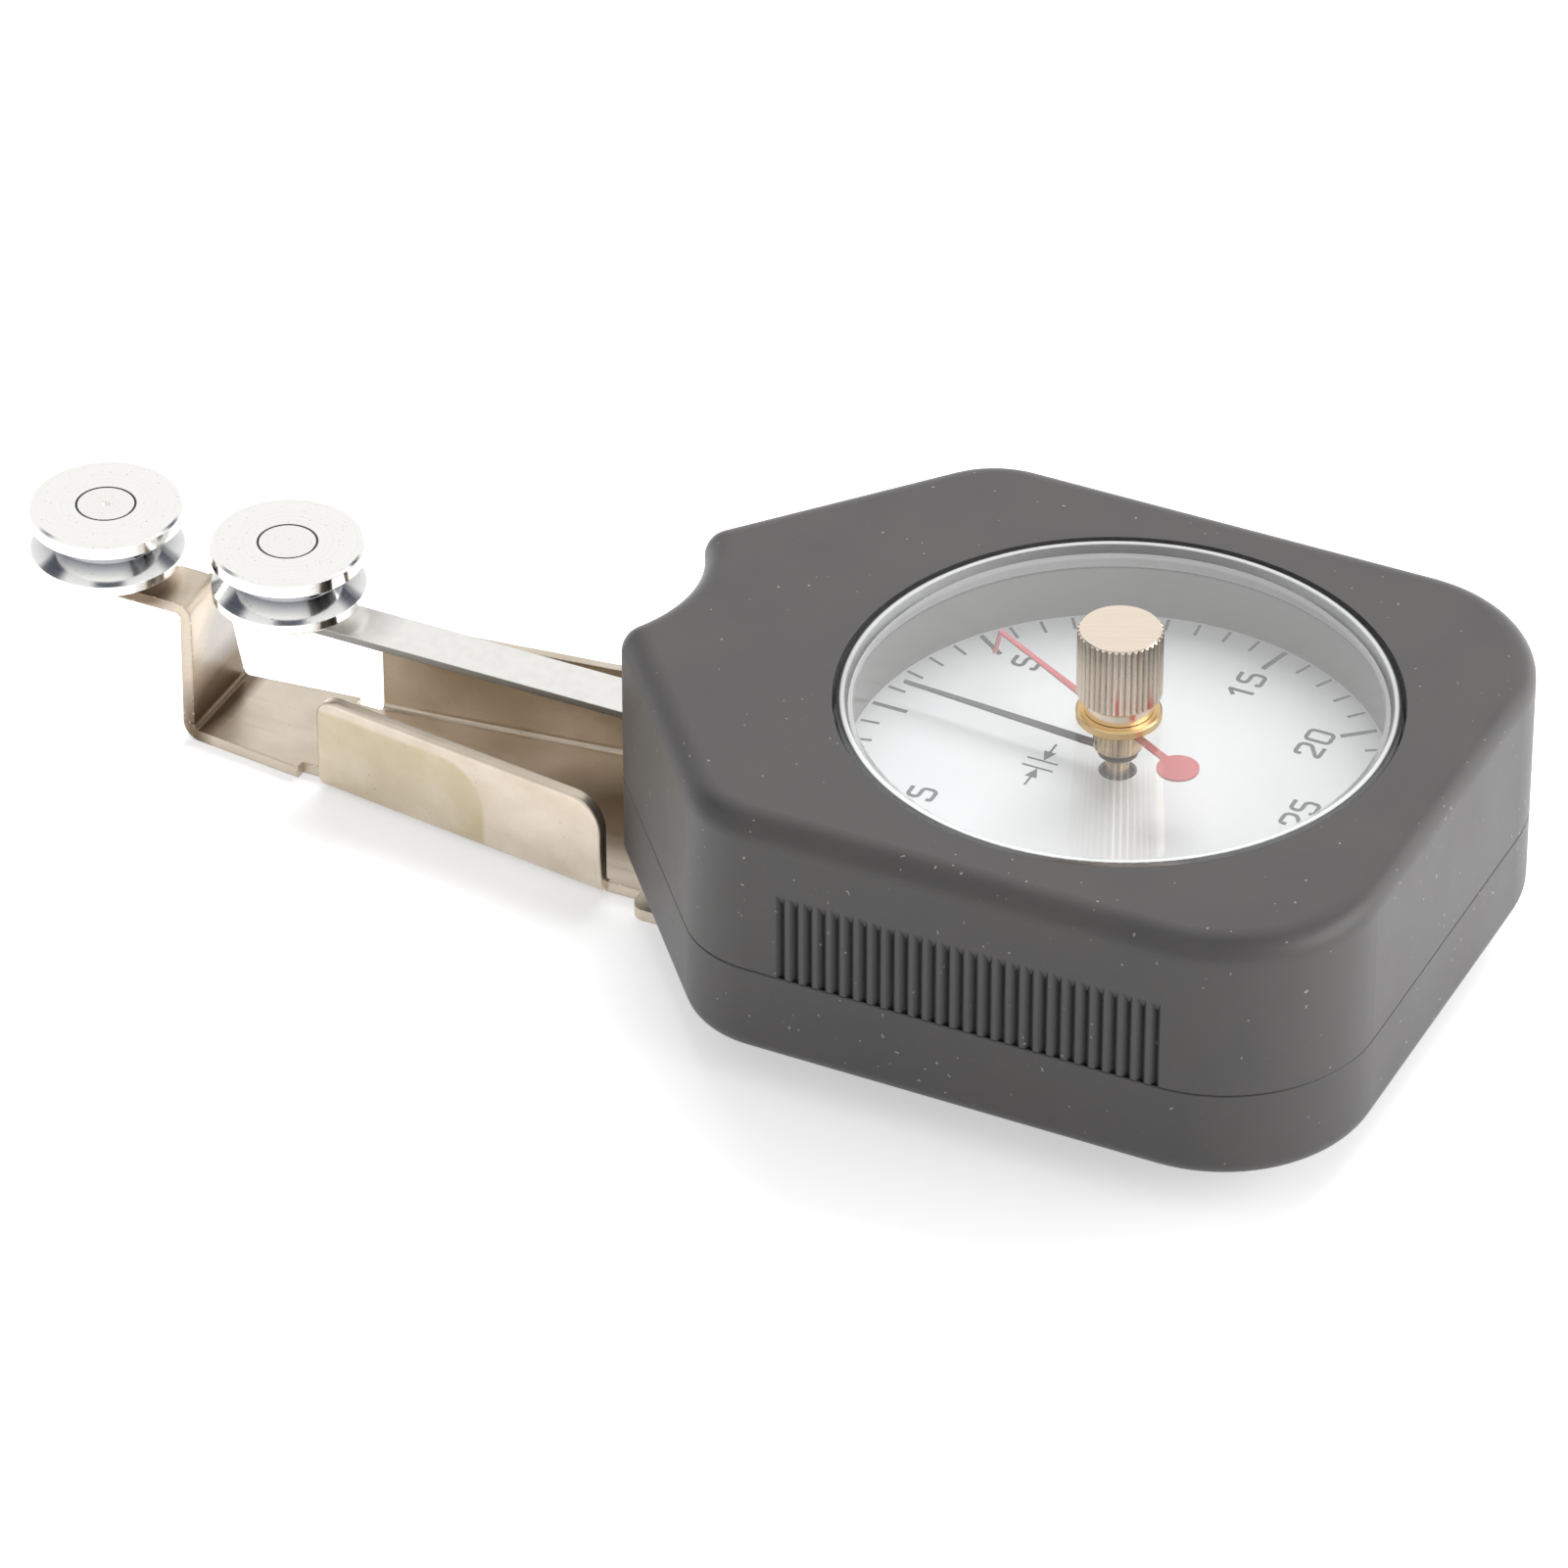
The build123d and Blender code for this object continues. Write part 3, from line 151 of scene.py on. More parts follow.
def finish(material, tree, surface, relief, strength=0.1, depth=0.01, edge=0.0):
    """Principled surface with a relief so many millimetres deep, and edges rounded so many millimetres."""
    bump = {"Height": relief, "Strength": strength, "Distance": depth * MM}
    if edge:
        bump["Normal"] = add_node(tree, "Bevel", {}, {"Radius": edge * MM})
    shader = add_node(tree, "BsdfPrincipled", {}, {**surface, "Normal": add_node(tree, "Bump", {}, bump)})
    add_node(tree, "OutputMaterial", {}, {"Surface": shader})
    return material


def moulded_abs(name, colour, handled, wall, well):
    """ABS moulded in a spark-eroded tool: a dark satin skin with a fine even grain and a polished dial well."""
    material, tree = start_material(name)
    # Spark erosion leaves pits about 0.12 mm apart, too fine to show, so they are drawn at 0.25 mm.
    pits = grain(tree, (0.25, 0.25, 0.25))
    # Handling polishes the skin in patches about 9 mm wide.
    patches = grain(tree, (9, 9, 9), detail=4.0)
    skin = add_node(tree, "ValToRGB", {"stops": [(0.3, colour), (0.75, handled)]}, {"Fac": patches})
    gloss = add_node(tree, "ValToRGB", {"stops": [(0.3, 0.4), (0.7, 0.48)]}, {"Fac": patches})
    # Painted shade in the grip's grooves and the seam, within 1 mm of their walls, where they are sheltered from
    # light.
    shelter = add_node(tree, "AmbientOcclusion", {"samples": 8}, {"Distance": 1.0 * MM}).outputs["AO"]
    painted_shade = add_node(tree, "ValToRGB", {"stops": [(0.55, 1), (0.9, 0)]}, {"Fac": shelter})
    skin = add_node(tree, "Mix", COLOURS, {"Factor": painted_shade, "A": skin, "B": linear("1e1d1e")})
    # Dust specks about 0.1 mm across, and few.
    dust = grain(tree, (0.5, 0.5, 0.5), detail=0.0)
    dust = add_node(tree, "ValToRGB", {"stops": [(0.83, 0), (0.87, 0.5)]}, {"Fac": dust})
    skin = add_node(tree, "Mix", COLOURS, {"Factor": dust, "A": skin, "B": linear("b4b0ac")})
    # The dial well's wall, from a polished core pin, is smooth and glossier, and painted lighter as a sheen.
    inside = distance_out(tree, DIAL_AXIS, well)
    inside = add_node(tree, "ValToRGB", {"stops": [(0.999, 1), (1.0, 0)]}, {"Fac": inside})
    surface = {
        "IOR": 1.54,
        "Base Color": add_node(tree, "Mix", COLOURS, {"Factor": inside, "A": skin, "B": wall}),
        "Roughness": add_node(tree, "Mix", COLOURS, {"Factor": inside, "A": gloss, "B": grey(0.2)}),
    }
    relief = add_node(tree, "Math", {"operation": "MAXIMUM"}, {0: pits, 1: inside})
    return finish(material, tree, surface, relief, strength=0.3, depth=0.02)


def plated_sheet(name, colour, worn, stain, bright, brown_shade, grey_reflection):
    """Cold-rolled sheet, blanked, folded and dull nickel plated: warm grey, streaked along the rolling direction."""
    material, tree = start_material(name)
    # Rolling streaks about 0.35 mm apart and 12 mm long.
    streaks = grain(tree, (12, 0.35, 0.35), detail=4.0)
    # The plate has worn in patches about 5 mm wide.
    patches = grain(tree, (5, 5, 4), detail=5.0)
    tone = add_node(tree, "ValToRGB", {"stops": [(0.35, worn), (0.62, colour)]}, {"Fac": patches})
    # Old oil has tanned the front of the near flange, up to a rounded edge 5 mm past this corner.
    corner = place(tree, (5.0, 0.1, 5.2), (-66.2, -7.2, 4.5))
    past = add_node(tree, "VectorMath", {"operation": "MAXIMUM"}, {0: corner, 1: (0, 0, 0)})
    past = add_node(tree, "VectorMath", {"operation": "LENGTH"}, {0: past})
    tan_line = [(0.0, 0.55), (0.9, 1), (0.97, 0.35), (1.0, 0)]
    oil = add_node(tree, "ValToRGB", {"stops": tan_line}, {"Fac": past})
    thin = add_node(tree, "ValToRGB", {"stops": [(0.35, 0.6), (0.6, 1)]}, {"Fac": grain(tree, (3, 3, 3))})
    oil = add_node(tree, "Math", {"operation": "MULTIPLY"}, {0: oil, 1: thin})
    tone = add_node(tree, "Mix", COLOURS, {"Factor": oil, "A": tone, "B": stain})
    # Spots, each with its middle and its reach: the strap's wall is painted grey above as a dark reflection,
    # and the fold under it, the tab beside the pulley and the channel under the lever are painted brown as shade and
    # dark reflections.
    for spot, reach, tint in (
        ((-95.4, 2.5, 9.0), (1.0, 7.0, 6.0), grey_reflection),
        ((-95.4, 1.5, 1.5), (2.6, 14.0, 6.5), brown_shade),
        ((-101.5, -3.5, 15.2), (5.0, 5.0, 2.0), brown_shade),
        ((-50.0, 0.0, 0.0), (14.0, 9.6, 3.2), brown_shade),
    ):
        near = distance(tree, spot, reach)
        near = add_node(tree, "ValToRGB", {"stops": [(0.5, 0.95), (1.0, 0)]}, {"Fac": near})
        tone = add_node(tree, "Mix", COLOURS, {"Factor": near, "A": tone, "B": tint})
    # Small dark pits where the plate has worn through, about 0.3 mm across.
    pits = grain(tree, (0.4, 0.4, 0.4), detail=2.0)
    pits = add_node(tree, "ValToRGB", {"stops": [(0.24, 0.55), (0.3, 1)]}, {"Fac": pits})
    tone = add_node(
        tree, "Mix", {"data_type": "RGBA", "blend_type": "MULTIPLY"}, {"Factor": 0.5, "A": tone, "B": pits}
    )
    # The plate is painted darker along its edges, as shade on their rounded turn.
    band, glints = edge_shade_and_glints(tree, 0.45)
    band = add_node(tree, "Math", {"operation": "MULTIPLY"}, {0: band, 1: 0.35})
    tone = add_node(tree, "Mix", COLOURS, {"Factor": band, "A": tone, "B": brown_shade})
    surface = {
        "Metallic": 1.0,
        # The bright flecks on the edges are painted highlights.
        "Base Color": add_node(tree, "Mix", COLOURS, {"Factor": glints, "A": tone, "B": bright}),
        "Roughness": add_node(tree, "ValToRGB", {"stops": [(0.3, 0.28), (0.7, 0.42)]}, {"Fac": streaks}),
    }
    return finish(material, tree, surface, streaks, strength=0.15, depth=0.02, edge=0.12)


def turned_metal(name, colour, shade, axis, rough=0.2, pitch=0.22, pin=None, groove=None):
    """Metal faced on a lathe: fine rings round its axis, a dark line round a pin in it, and painted shade in its
    groove.

    pin is the pin's radius, and groove the middle of the groove, half its width and the wheel's radius.
    """
    material, tree = start_material(name)
    rings = turning_marks(tree, axis, pitch)
    tone = add_node(tree, "ValToRGB", {"stops": [(0.35, shade), (0.55, colour)]}, {"Fac": rings})
    # Small dark pits, about 0.15 mm across and few.
    pits = grain(tree, (0.3, 0.3, 0.3), detail=1.0)
    pits = add_node(tree, "ValToRGB", {"stops": [(0.24, 0.5), (0.3, 0)]}, {"Fac": pits})
    tone = add_node(tree, "Mix", COLOURS, {"Factor": pits, "A": tone, "B": linear("8a8a8c")})
    if pin:
        # Oil and dust sit in the joint, in a line drawn 0.25 mm wide.
        line = distance_out(tree, axis, pin + 0.25)
        line = add_node(tree, "ValToRGB", {"stops": [(0.985, 1), (1.0, 0)]}, {"Fac": line})
        tone = add_node(tree, "Mix", COLOURS, {"Factor": line, "A": tone, "B": linear("4a4a4e")})
    if groove:
        middle, half, wheel = groove
        # Painted shade and dark reflection in the groove, blue-grey and darkest at the root.
        rise = add_node(tree, "SeparateXYZ", {}, {0: place(tree, (1, 1, 1), middle)}).outputs["Z"]
        rise = add_node(tree, "Math", {"operation": "ABSOLUTE"}, {0: rise, 1: 0.0})
        within = add_node(tree, "Math", {"operation": "LESS_THAN"}, {0: rise, 1: half})
        darkening = distance_out(tree, axis, wheel)
        darkening = add_node(tree, "ValToRGB", {"stops": [(0.72, 0.85), (0.9, 0.35), (0.99, 0.15)]}, {"Fac": darkening})
        darkening = add_node(tree, "Math", {"operation": "MULTIPLY"}, {0: within, 1: darkening})
        tone = add_node(tree, "Mix", COLOURS, {"Factor": darkening, "A": tone, "B": linear("8b8e95")})
    gloss = [(0.3, rough * 0.8), (0.7, rough * 1.3)]
    surface = {
        "Metallic": 1.0, "Base Color": tone,
        "Roughness": add_node(tree, "ValToRGB", {"stops": gloss}, {"Fac": rings}),
    }
    return finish(material, tree, surface, rings, strength=0.03, edge=0.1)


def brushed_metal(name, colour, shade, spacing, rough=0.25, strength=0.15, turn=0.0, knurl=None):
    """Metal brushed or drawn one way: streaks along the longest spacing, and a darker tone low in a knurl.

    knurl is the radius of its root, the radius where the darker tone ends, and the darker colour.
    """
    material, tree = start_material(name)
    streaks = grain(tree, spacing, turn=turn)
    tone = add_node(tree, "ValToRGB", {"stops": [(0.3, shade), (0.65, colour)]}, {"Fac": streaks})
    if knurl:
        root, crest, darkening = knurl
        deep = distance_out(tree, DIAL_AXIS, crest)
        stops = [(root / crest - 0.006, 0), (root / crest, 1), (1.0, 0)]
        deep = add_node(tree, "ValToRGB", {"stops": stops}, {"Fac": deep})
        tone = add_node(tree, "Mix", COLOURS, {"Factor": deep, "A": tone, "B": darkening})
    gloss = [(0.3, rough * 0.8), (0.7, rough * 1.3)]
    surface = {
        "Metallic": 1.0, "Base Color": tone,
        "Roughness": add_node(tree, "ValToRGB", {"stops": gloss}, {"Fac": streaks}),
    }
    return finish(material, tree, surface, streaks, strength=strength, edge=0.06)


def plated_bar(name, colour, shade, bright, shade_grey, face, axle):
    """Blanked, tumbled and zinc plated bar: white-silver face, sides painted dark as shade, painted highlights on
    edges.
    """
    material, tree = start_material(name)
    # Tumbling leaves dents about 1.2 mm apart.
    dents = grain(tree, (1.2, 1.2, 1.2), detail=4.0)
    tone = add_node(tree, "ValToRGB", {"stops": [(0.3, shade), (0.6, colour)]}, {"Fac": dents})
    # Below the level of its face the bar's sheared sides are painted dark grey, as shade and dark reflection.
    height = add_node(tree, "SeparateXYZ", {}, {0: place(tree, (1, 1, face))}).outputs["Z"]
    below = add_node(tree, "ValToRGB", {"stops": [(0.993, 1), (0.998, 0)]}, {"Fac": height})
    tone = add_node(tree, "Mix", COLOURS, {"Factor": below, "A": tone, "B": shade_grey})
    # Painted shade and dark reflection round the pulley, out to 12 mm from its axle.
    pulley_shade = distance_out(tree, axle, 12.0)
    pulley_shade = add_node(tree, "ValToRGB", {"stops": [(0.6, 0.6), (1.0, 0)]}, {"Fac": pulley_shade})
    tone = add_node(tree, "Mix", COLOURS, {"Factor": pulley_shade, "A": tone, "B": shade_grey})
    # Rolling streaks about 0.3 mm apart and 8 mm long.
    gloss = grain(tree, (8, 0.3, 0.3))
    glints = edge_shade_and_glints(tree, 0.2)[1]
    surface = {
        "Metallic": 1.0,
        "Base Color": add_node(tree, "Mix", COLOURS, {"Factor": glints, "A": tone, "B": bright}),
        "Roughness": add_node(tree, "ValToRGB", {"stops": [(0.3, 0.28), (0.7, 0.34)]}, {"Fac": gloss}),
    }
    return finish(material, tree, surface, dents, depth=0.02, edge=0.1)


def sprayed_enamel(name, colour, shade):
    """Sprayed white enamel: smooth, faintly uneven in tone, with a soft gloss."""
    material, tree = start_material(name)
    # The spray's passes are about 14 mm wide, and its orange peel 0.8 mm.
    passes = grain(tree, (14, 14, 14), detail=2.0)
    tone = add_node(tree, "ValToRGB", {"stops": [(0.3, shade), (0.7, colour)]}, {"Fac": passes})
    surface = {"Roughness": 0.4, "IOR": 1.5, "Base Color": tone}
    return finish(material, tree, surface, grain(tree, (0.8, 0.8, 0.8), detail=2.0), strength=0.08)


def painted(name, colour, shade, rough=0.35):
    """Lacquer, ink or rubber: an even film with a slight mottle."""
    material, tree = start_material(name)
    mottle = grain(tree, (0.5, 0.5, 0.5))
    tone = add_node(tree, "ValToRGB", {"stops": [(0.35, shade), (0.65, colour)]}, {"Fac": mottle})
    surface = {"Roughness": rough, "IOR": 1.5, "Base Color": tone}
    return finish(material, tree, surface, mottle, strength=0.05, depth=0.005)


def clear_acrylic(name, colour, painted_shade, outer):
    """Moulded acrylic, clear but hazy with fine scratches, its rim turned matt.

    Light from the lamps and mirror images pass straight through it.
    """
    material, tree = start_material(name)
    # The window is flat to the eye, with slow waves about 10 mm long.
    waves = {"Strength": 0.02, "Distance": 0.01 * MM, "Height": grain(tree, (10, 10, 10), detail=2.0)}
    # By parts of the crystal's radius: the window ends at 0.94, the bevel at 0.97 and the rim's top at 0.985.
    out = distance_out(tree, DIAL_AXIS, outer)
    # The window's haze scatters a tenth of the light at each face, the bevel and the rim more.
    haze = [(0.938, 0.91), (0.942, 0.84), (0.967, 0.84), (0.972, 0.45), (0.983, 0.45), (0.986, 0.8)]
    clear = add_node(tree, "ValToRGB", {"stops": haze}, {"Fac": out})
    # The window is polished, and turning marks 0.25 mm apart make the bevel half matt and the rim matt.
    matt = add_node(tree, "ValToRGB", {"stops": [(0.94, 0), (0.944, 0.4), (0.967, 0.4), (0.972, 1)]}, {"Fac": out})
    marks = turning_marks(tree, DIAL_AXIS, 0.25, detail=1.0)
    marks = add_node(tree, "ValToRGB", {"stops": [(0.3, 0.3), (0.7, 0.5)]}, {"Fac": marks})
    # Acrylic's own index is 1.49; scratches dull its mirror image, so the index is lower here.
    solid = {
        "IOR": 1.33, "Transmission Weight": clear, "Normal": add_node(tree, "Bump", {}, waves),
        # The crystal's outer edge is painted dark, as shade in the gap round it.
        "Base Color": add_node(tree, "ValToRGB", {"stops": [(0.984, colour), (0.988, painted_shade)]}, {"Fac": out}),
        "Roughness": add_node(tree, "Math", {"operation": "MULTIPLY"}, {0: matt, 1: marks}),
    }
    solid = add_node(tree, "BsdfPrincipled", {}, solid)
    through = add_node(tree, "BsdfTransparent", {}, {"Color": grey(0.96)})
    ray = add_node(tree, "LightPath").outputs
    straight = {0: ray["Is Shadow Ray"], 1: ray["Is Reflection Ray"]}
    straight = add_node(tree, "Math", {"operation": "MAXIMUM"}, straight)
    both = add_node(tree, "MixShader", {}, {0: straight, 1: solid, 2: through})
    add_node(tree, "OutputMaterial", {}, {"Surface": both})
    return material


def dress(names, material):
    """Gives CAD nodes their material."""
    for name in names:
        mesh = NODES[name].data
        mesh.materials.clear()
        mesh.materials.append(material)


def new_piece(name, mesh, body, material):
    """Adds a piece of the scene's own that rides on a body."""
    piece = bpy.data.objects.new(name, mesh)
    bpy.context.scene.collection.objects.link(piece)
    mesh.materials.append(material)
    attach(piece, body)


def round_corners(points, radius, closed=False, steps=6):
    """Points of a line whose corners are rounded to a radius."""
    count = len(points)
    line = []
    for index, point in enumerate(points):
        here = Vector(point)
        if not closed and index in (0, count - 1):
            line.append(here)
            continue
        before, after = Vector(points[index - 1]) - here, Vector(points[(index + 1) % count]) - here
        bend = before.angle(after)
        cut = min(radius / tan(bend / 2), before.length / 2, after.length / 2)
        start, end = here + before.normalized() * cut, here + after.normalized() * cut
        for step in range(steps + 1):
            t = step / steps
            line.append(start * (1 - t) ** 2 + here * 2 * t * (1 - t) + end * t ** 2)
    return line


def stroke(mesh, line, width, low, high, closed=False):
    """Adds a flat printed stroke along a line to a bmesh."""
    count = len(line)
    rails = []
    for index, point in enumerate(line):
        behind = line[index - 1] if index or closed else point
        ahead = line[(index + 1) % count] if index < count - 1 or closed else point
        along = (ahead - behind).normalized()
        side = Vector((-along.y, along.x)) * width / 2
        corners = [(point + side, low), (point - side, low), (point - side, high), (point + side, high)]
        rails.append([mesh.verts.new((p.x, p.y, z)) for p, z in corners])
    for index in range(count if closed else count - 1):
        here, there = rails[index], rails[(index + 1) % count]
        for corner in range(4):
            mesh.faces.new((here[corner], here[(corner + 1) % 4], there[(corner + 1) % 4], there[corner]))
    if not closed:
        mesh.faces.new(rails[0][::-1])
        mesh.faces.new(rails[-1])


# Centre lines of the digits, from 0 to 1 across and up: points and whether the line closes.
DIGITS = {
    "0": ([(0, 0), (1, 0), (1, 1), (0, 1)], True),
    "1": ([(0.1, 0.74), (0.62, 1), (0.62, 0)], False),
    "2": ([(0, 0.72), (0, 1), (1, 1), (1, 0.55), (0, 0.12), (0, 0), (1, 0)], False),
    "5": ([(0.95, 1), (0.06, 1), (0, 0.56), (1, 0.56), (1, 0), (0, 0), (0, 0.2)], False),
}
# The point of a 1 is sharp.
SHARP = 0.02 * MM


def printed_number(text, centre, look):
    """Mesh of a number printed flat on the dial, upright for a reader whose up is -X."""
    across = look.digit_width - look.digit_stroke
    height = look.digit_height - look.digit_stroke
    advance = look.digit_width + look.digit_gap
    left = -(advance * len(text) - look.digit_gap) / 2 + look.digit_stroke / 2
    mesh = bmesh.new()
    for index, digit in enumerate(text):
        points, closed = DIGITS[digit]
        start = left + index * advance
        flat = [(centre[0] - (v - 0.5) * height, centre[1] + (start + u * across)) for u, v in points]
        line = round_corners(flat, SHARP if digit == "1" else look.digit_corner, closed)
        stroke(mesh, line, look.digit_stroke, look.dial_top, look.dial_top + look.print_depth, closed)
    return mesh


def write_mesh(name, build):
    """Mesh datablock from a bmesh, with its faces turned outwards."""
    bmesh.ops.recalc_face_normals(build, faces=build.faces)
    mesh = bpy.data.meshes.new(name)
    build.to_mesh(mesh)
    build.free()
    return mesh


class GaugeLook(bpy.types.PropertyGroup):
    """Sizes and colours of the gauge that a user may change."""

    case_colour: bpy.props.FloatVectorProperty(
        name="Case", description="Colour of the moulded case", size=4, subtype="COLOR", default=linear("413f3f")
    )
    case_handled: bpy.props.FloatVectorProperty(
        name="Case, handled", description="Colour of the case where hands rub it", size=4, subtype="COLOR",
        default=linear("494746"),
    )
    sheet_colour: bpy.props.FloatVectorProperty(
        name="Sheet", description="Colour of the plated bracket", size=4, subtype="COLOR", default=linear("dcd0c1")
    )
    sheet_worn: bpy.props.FloatVectorProperty(
        name="Sheet, worn", description="Colour of the worn plate", size=4, subtype="COLOR", default=linear("d0c3b1")
    )
    sheet_stain: bpy.props.FloatVectorProperty(
        name="Sheet, stained", description="Colour of the stain on the near flange", size=4, subtype="COLOR",
        default=linear("c3b698"),
    )
    digit_height: bpy.props.FloatProperty(
        name="Digit height", description="Height of the dial's digits", unit="LENGTH", default=2.8 * MM
    )
    digit_width: bpy.props.FloatProperty(
        name="Digit width", description="Width of one digit", unit="LENGTH", default=2.0 * MM
    )
    digit_gap: bpy.props.FloatProperty(
        name="Digit gap", description="Gap between two digits", unit="LENGTH", default=0.4 * MM
    )
    digit_stroke: bpy.props.FloatProperty(
        name="Digit stroke", description="Width of a digit's strokes", unit="LENGTH", default=0.4 * MM
    )
    digit_corner: bpy.props.FloatProperty(
        name="Digit corner", description="Radius of a digit's corners", unit="LENGTH", default=0.5 * MM
    )
    print_depth: bpy.props.FloatProperty(
        name="Print", description="Thickness of the printed ink", unit="LENGTH", default=0.03 * MM
    )
    sign_corner: bpy.props.FloatVectorProperty(
        name="Arrow sign", description="Where the upper line of the arrow sign starts", size=2, unit="LENGTH",
        default=(-8.4 * MM, -1.75 * MM),
    )
    well_radius: bpy.props.FloatProperty(
        name="Dial well", description="Radius within which the case is polished", unit="LENGTH", default=26.48 * MM
    )
    dial_top: bpy.props.FloatProperty(
        name="Dial level", description="Level of the dial's face", unit="LENGTH", default=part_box("dial_plate")[1][2]
    )


class GaugeStudio(bpy.types.PropertyGroup):
    """Light, floor and camera of the studio."""

    floor_colour: bpy.props.FloatVectorProperty(
        name="Floor", description="Colour of the floor", size=4, subtype="COLOR", default=linear("f2f2f2")
    )
    sky_level: bpy.props.FloatProperty(
        name="Room light", description="Strength of the light from all round", default=0.5, min=0
    )
    floor_glow: bpy.props.FloatProperty(
        name="Floor glow", description="White added to the floor where it is seen", default=0.5, min=0
    )
    top_power: bpy.props.FloatProperty(
        name="Top light", description="Power of the overhead softbox", unit="POWER", default=5.4, min=0
    )
    side_power: bpy.props.FloatProperty(
        name="Side light", description="Power of the softbox on the right", unit="POWER", default=4.6, min=0
    )
    camera_turn: bpy.props.FloatProperty(
        name="Camera turn", description="How far the camera stands round the gauge", subtype="ANGLE",
        default=radians(25.8454),
    )
    camera_rise: bpy.props.FloatProperty(
        name="Camera rise", description="Angle of the camera above the horizon", subtype="ANGLE",
        default=radians(35.5309),
    )
    camera_roll: bpy.props.FloatProperty(
        name="Camera roll", description="Roll of the camera", subtype="ANGLE", default=radians(-0.1433)
    )
    camera_distance: bpy.props.FloatProperty(
        name="Camera distance", description="From the lens to the top of the dial axis", unit="LENGTH",
        default=891.36 * MM,
    )
    camera_lens: bpy.props.FloatProperty(
        name="Lens", description="Focal length", unit="CAMERA", default=222.1
    )


class GAUGE_OT_movement(bpy.types.Operator):
    """Finish the movement under the dial, the bearings and the fasteners"""

    bl_idname = "gauge.movement"
    bl_label = "Movement"

    def execute(self, context):
        brass = brushed_metal("brushed_brass_plate", linear("d9b98a"), linear("c4a274"), (6, 0.3, 0.3))
        bronze = brushed_metal("sintered_bronze", linear("b98d5e"), linear("a67c50"), (0.4, 0.4, 0.4), rough=0.4)
        steel = brushed_metal("drawn_steel_bright", linear("c9c8c6"), linear("b2b1af"), (0.3, 0.3, 4))
        spring = brushed_metal("tempered_spring_steel", linear("8d8f96"), linear("74767e"), (3, 3, 0.3))
        by_slot = {
            "movement_brass": brass, "bearing_bronze": bronze, "pivot_steel": steel, "screw_steel": steel,
            "spring_steel": spring, "washer_steel": steel,
        }
        for part in frame["record"]["subparts"]:
            if part["material_slot"] in by_slot:
                dress([part["node"]], by_slot[part["material_slot"]])
        return {"FINISHED"}


class GAUGE_OT_case(bpy.types.Operator):
    """Finish the moulded case shells"""

    bl_idname = "gauge.case"
    bl_label = "Case"

    def execute(self, context):
        look = context.scene.gauge_look
        well = look.well_radius / MM
        # The third colour is the dial well's wall, painted lighter as a sheen.
        skin = moulded_abs("moulded_abs_charcoal", look.case_colour, look.case_handled, linear("6c6a68"), well)
        dress(["top_case", "bottom_case"], skin)
        return {"FINISHED"}


class GAUGE_OT_bracket(bpy.types.Operator):
    """Finish the folded bracket and the standoffs that carry the case"""

    bl_idname = "gauge.bracket"
    bl_label = "Bracket"

    def execute(self, context):
        look = context.scene.gauge_look
        # The last three colours are painted: highlights on the edges, brown shade and dark reflections, and a grey
        # reflection on the strap's wall.
        sheet = plated_sheet(
            "nickel_plated_sheet", look.sheet_colour, look.sheet_worn, look.sheet_stain, linear("f0e8dc"),
            linear("6f5e4c"), linear("b3afaa"),
        )
        dress(["bracket"], sheet)
        steel = brushed_metal("turned_plated_steel", linear("cfc8bf"), linear("b5aea5"), (2, 2, 0.2))
        dress(["bracket_standoffs"], steel)
        return {"FINISHED"}


# Numbers on the dial: text, then the angle in degrees and the radius in millimetres of the middle of the number.
NUMBERS = [
    ("5", 140.6, 19.3), ("10", 107.0, 18.7), ("15", 73.3, 18.45), ("20", 38.4, 18.95), ("25", 2.4, 18.1),
    ("5", 217.4, 18.6), ("10", 252.5, 18.6), ("15", 287.0, 18.5), ("20", 322.0, 18.7),
]


class GAUGE_OT_dial(bpy.types.Operator):
    """Enamel the dial and print its numbers and its arrow sign"""

    bl_idname = "gauge.dial"
    bl_label = "Dial"

    def execute(self, context):
        look = context.scene.gauge_look
        dress(["dial_plate"], sprayed_enamel("sprayed_enamel_white", linear("eff1f3"), linear("e8ebed")))
        ink = painted("printed_ink_grey_black", linear("404246"), linear("38393d"), rough=0.5)
        dress(["dial_scale"], ink)
        for index, (text, angle, out) in enumerate(NUMBERS):
            turn = radians(angle)
            centre = (out * MM * cos(turn), out * MM * sin(turn))
            number = write_mesh("dial_number", printed_number(text, centre, look))
            new_piece(f"dial_number_{index + 1}_{text}", number, "case", ink)
        new_piece("dial_arrow_sign", write_mesh("dial_arrow_sign", self.sign(look)), "case", ink)
        return {"FINISHED"}

    def sign(self, look):
        """Two short lines with an arrow from each side pointing at the gap between them."""
        length, gap = 3.1 * MM, 1.2 * MM
        arrow_from_left, arrow_length = 1.6 * MM, 3.0 * MM
        width, head, half_head = 0.22 * MM, 1.6 * MM, 0.6 * MM
        sign = bmesh.new()
        low, high = look.dial_top, look.dial_top + look.print_depth
        left, upper = look.sign_corner
        right, lower, middle = left + length, upper - gap, left + arrow_from_left
        for y in (upper, lower):
            stroke(sign, [Vector((left, y)), Vector((right, y))], width, low, high)
        for tip, way in ((upper, 1), (lower, -1)):
            root = tip + way * head
            stroke(sign, [Vector((middle, tip + way * arrow_length)), Vector((middle, root))], width, low, high)
            corners = [(middle, tip + way * width / 2), (middle + half_head, root), (middle - half_head, root)]
            rings = [[sign.verts.new((*corner, z)) for corner in corners] for z in (low, high)]
            sign.faces.new(rings[0][::-1])
            sign.faces.new(rings[1])
            for a, b in ((0, 1), (1, 2), (2, 0)):
                sign.faces.new((rings[0][a], rings[0][b], rings[1][b], rings[1][a]))
        return sign


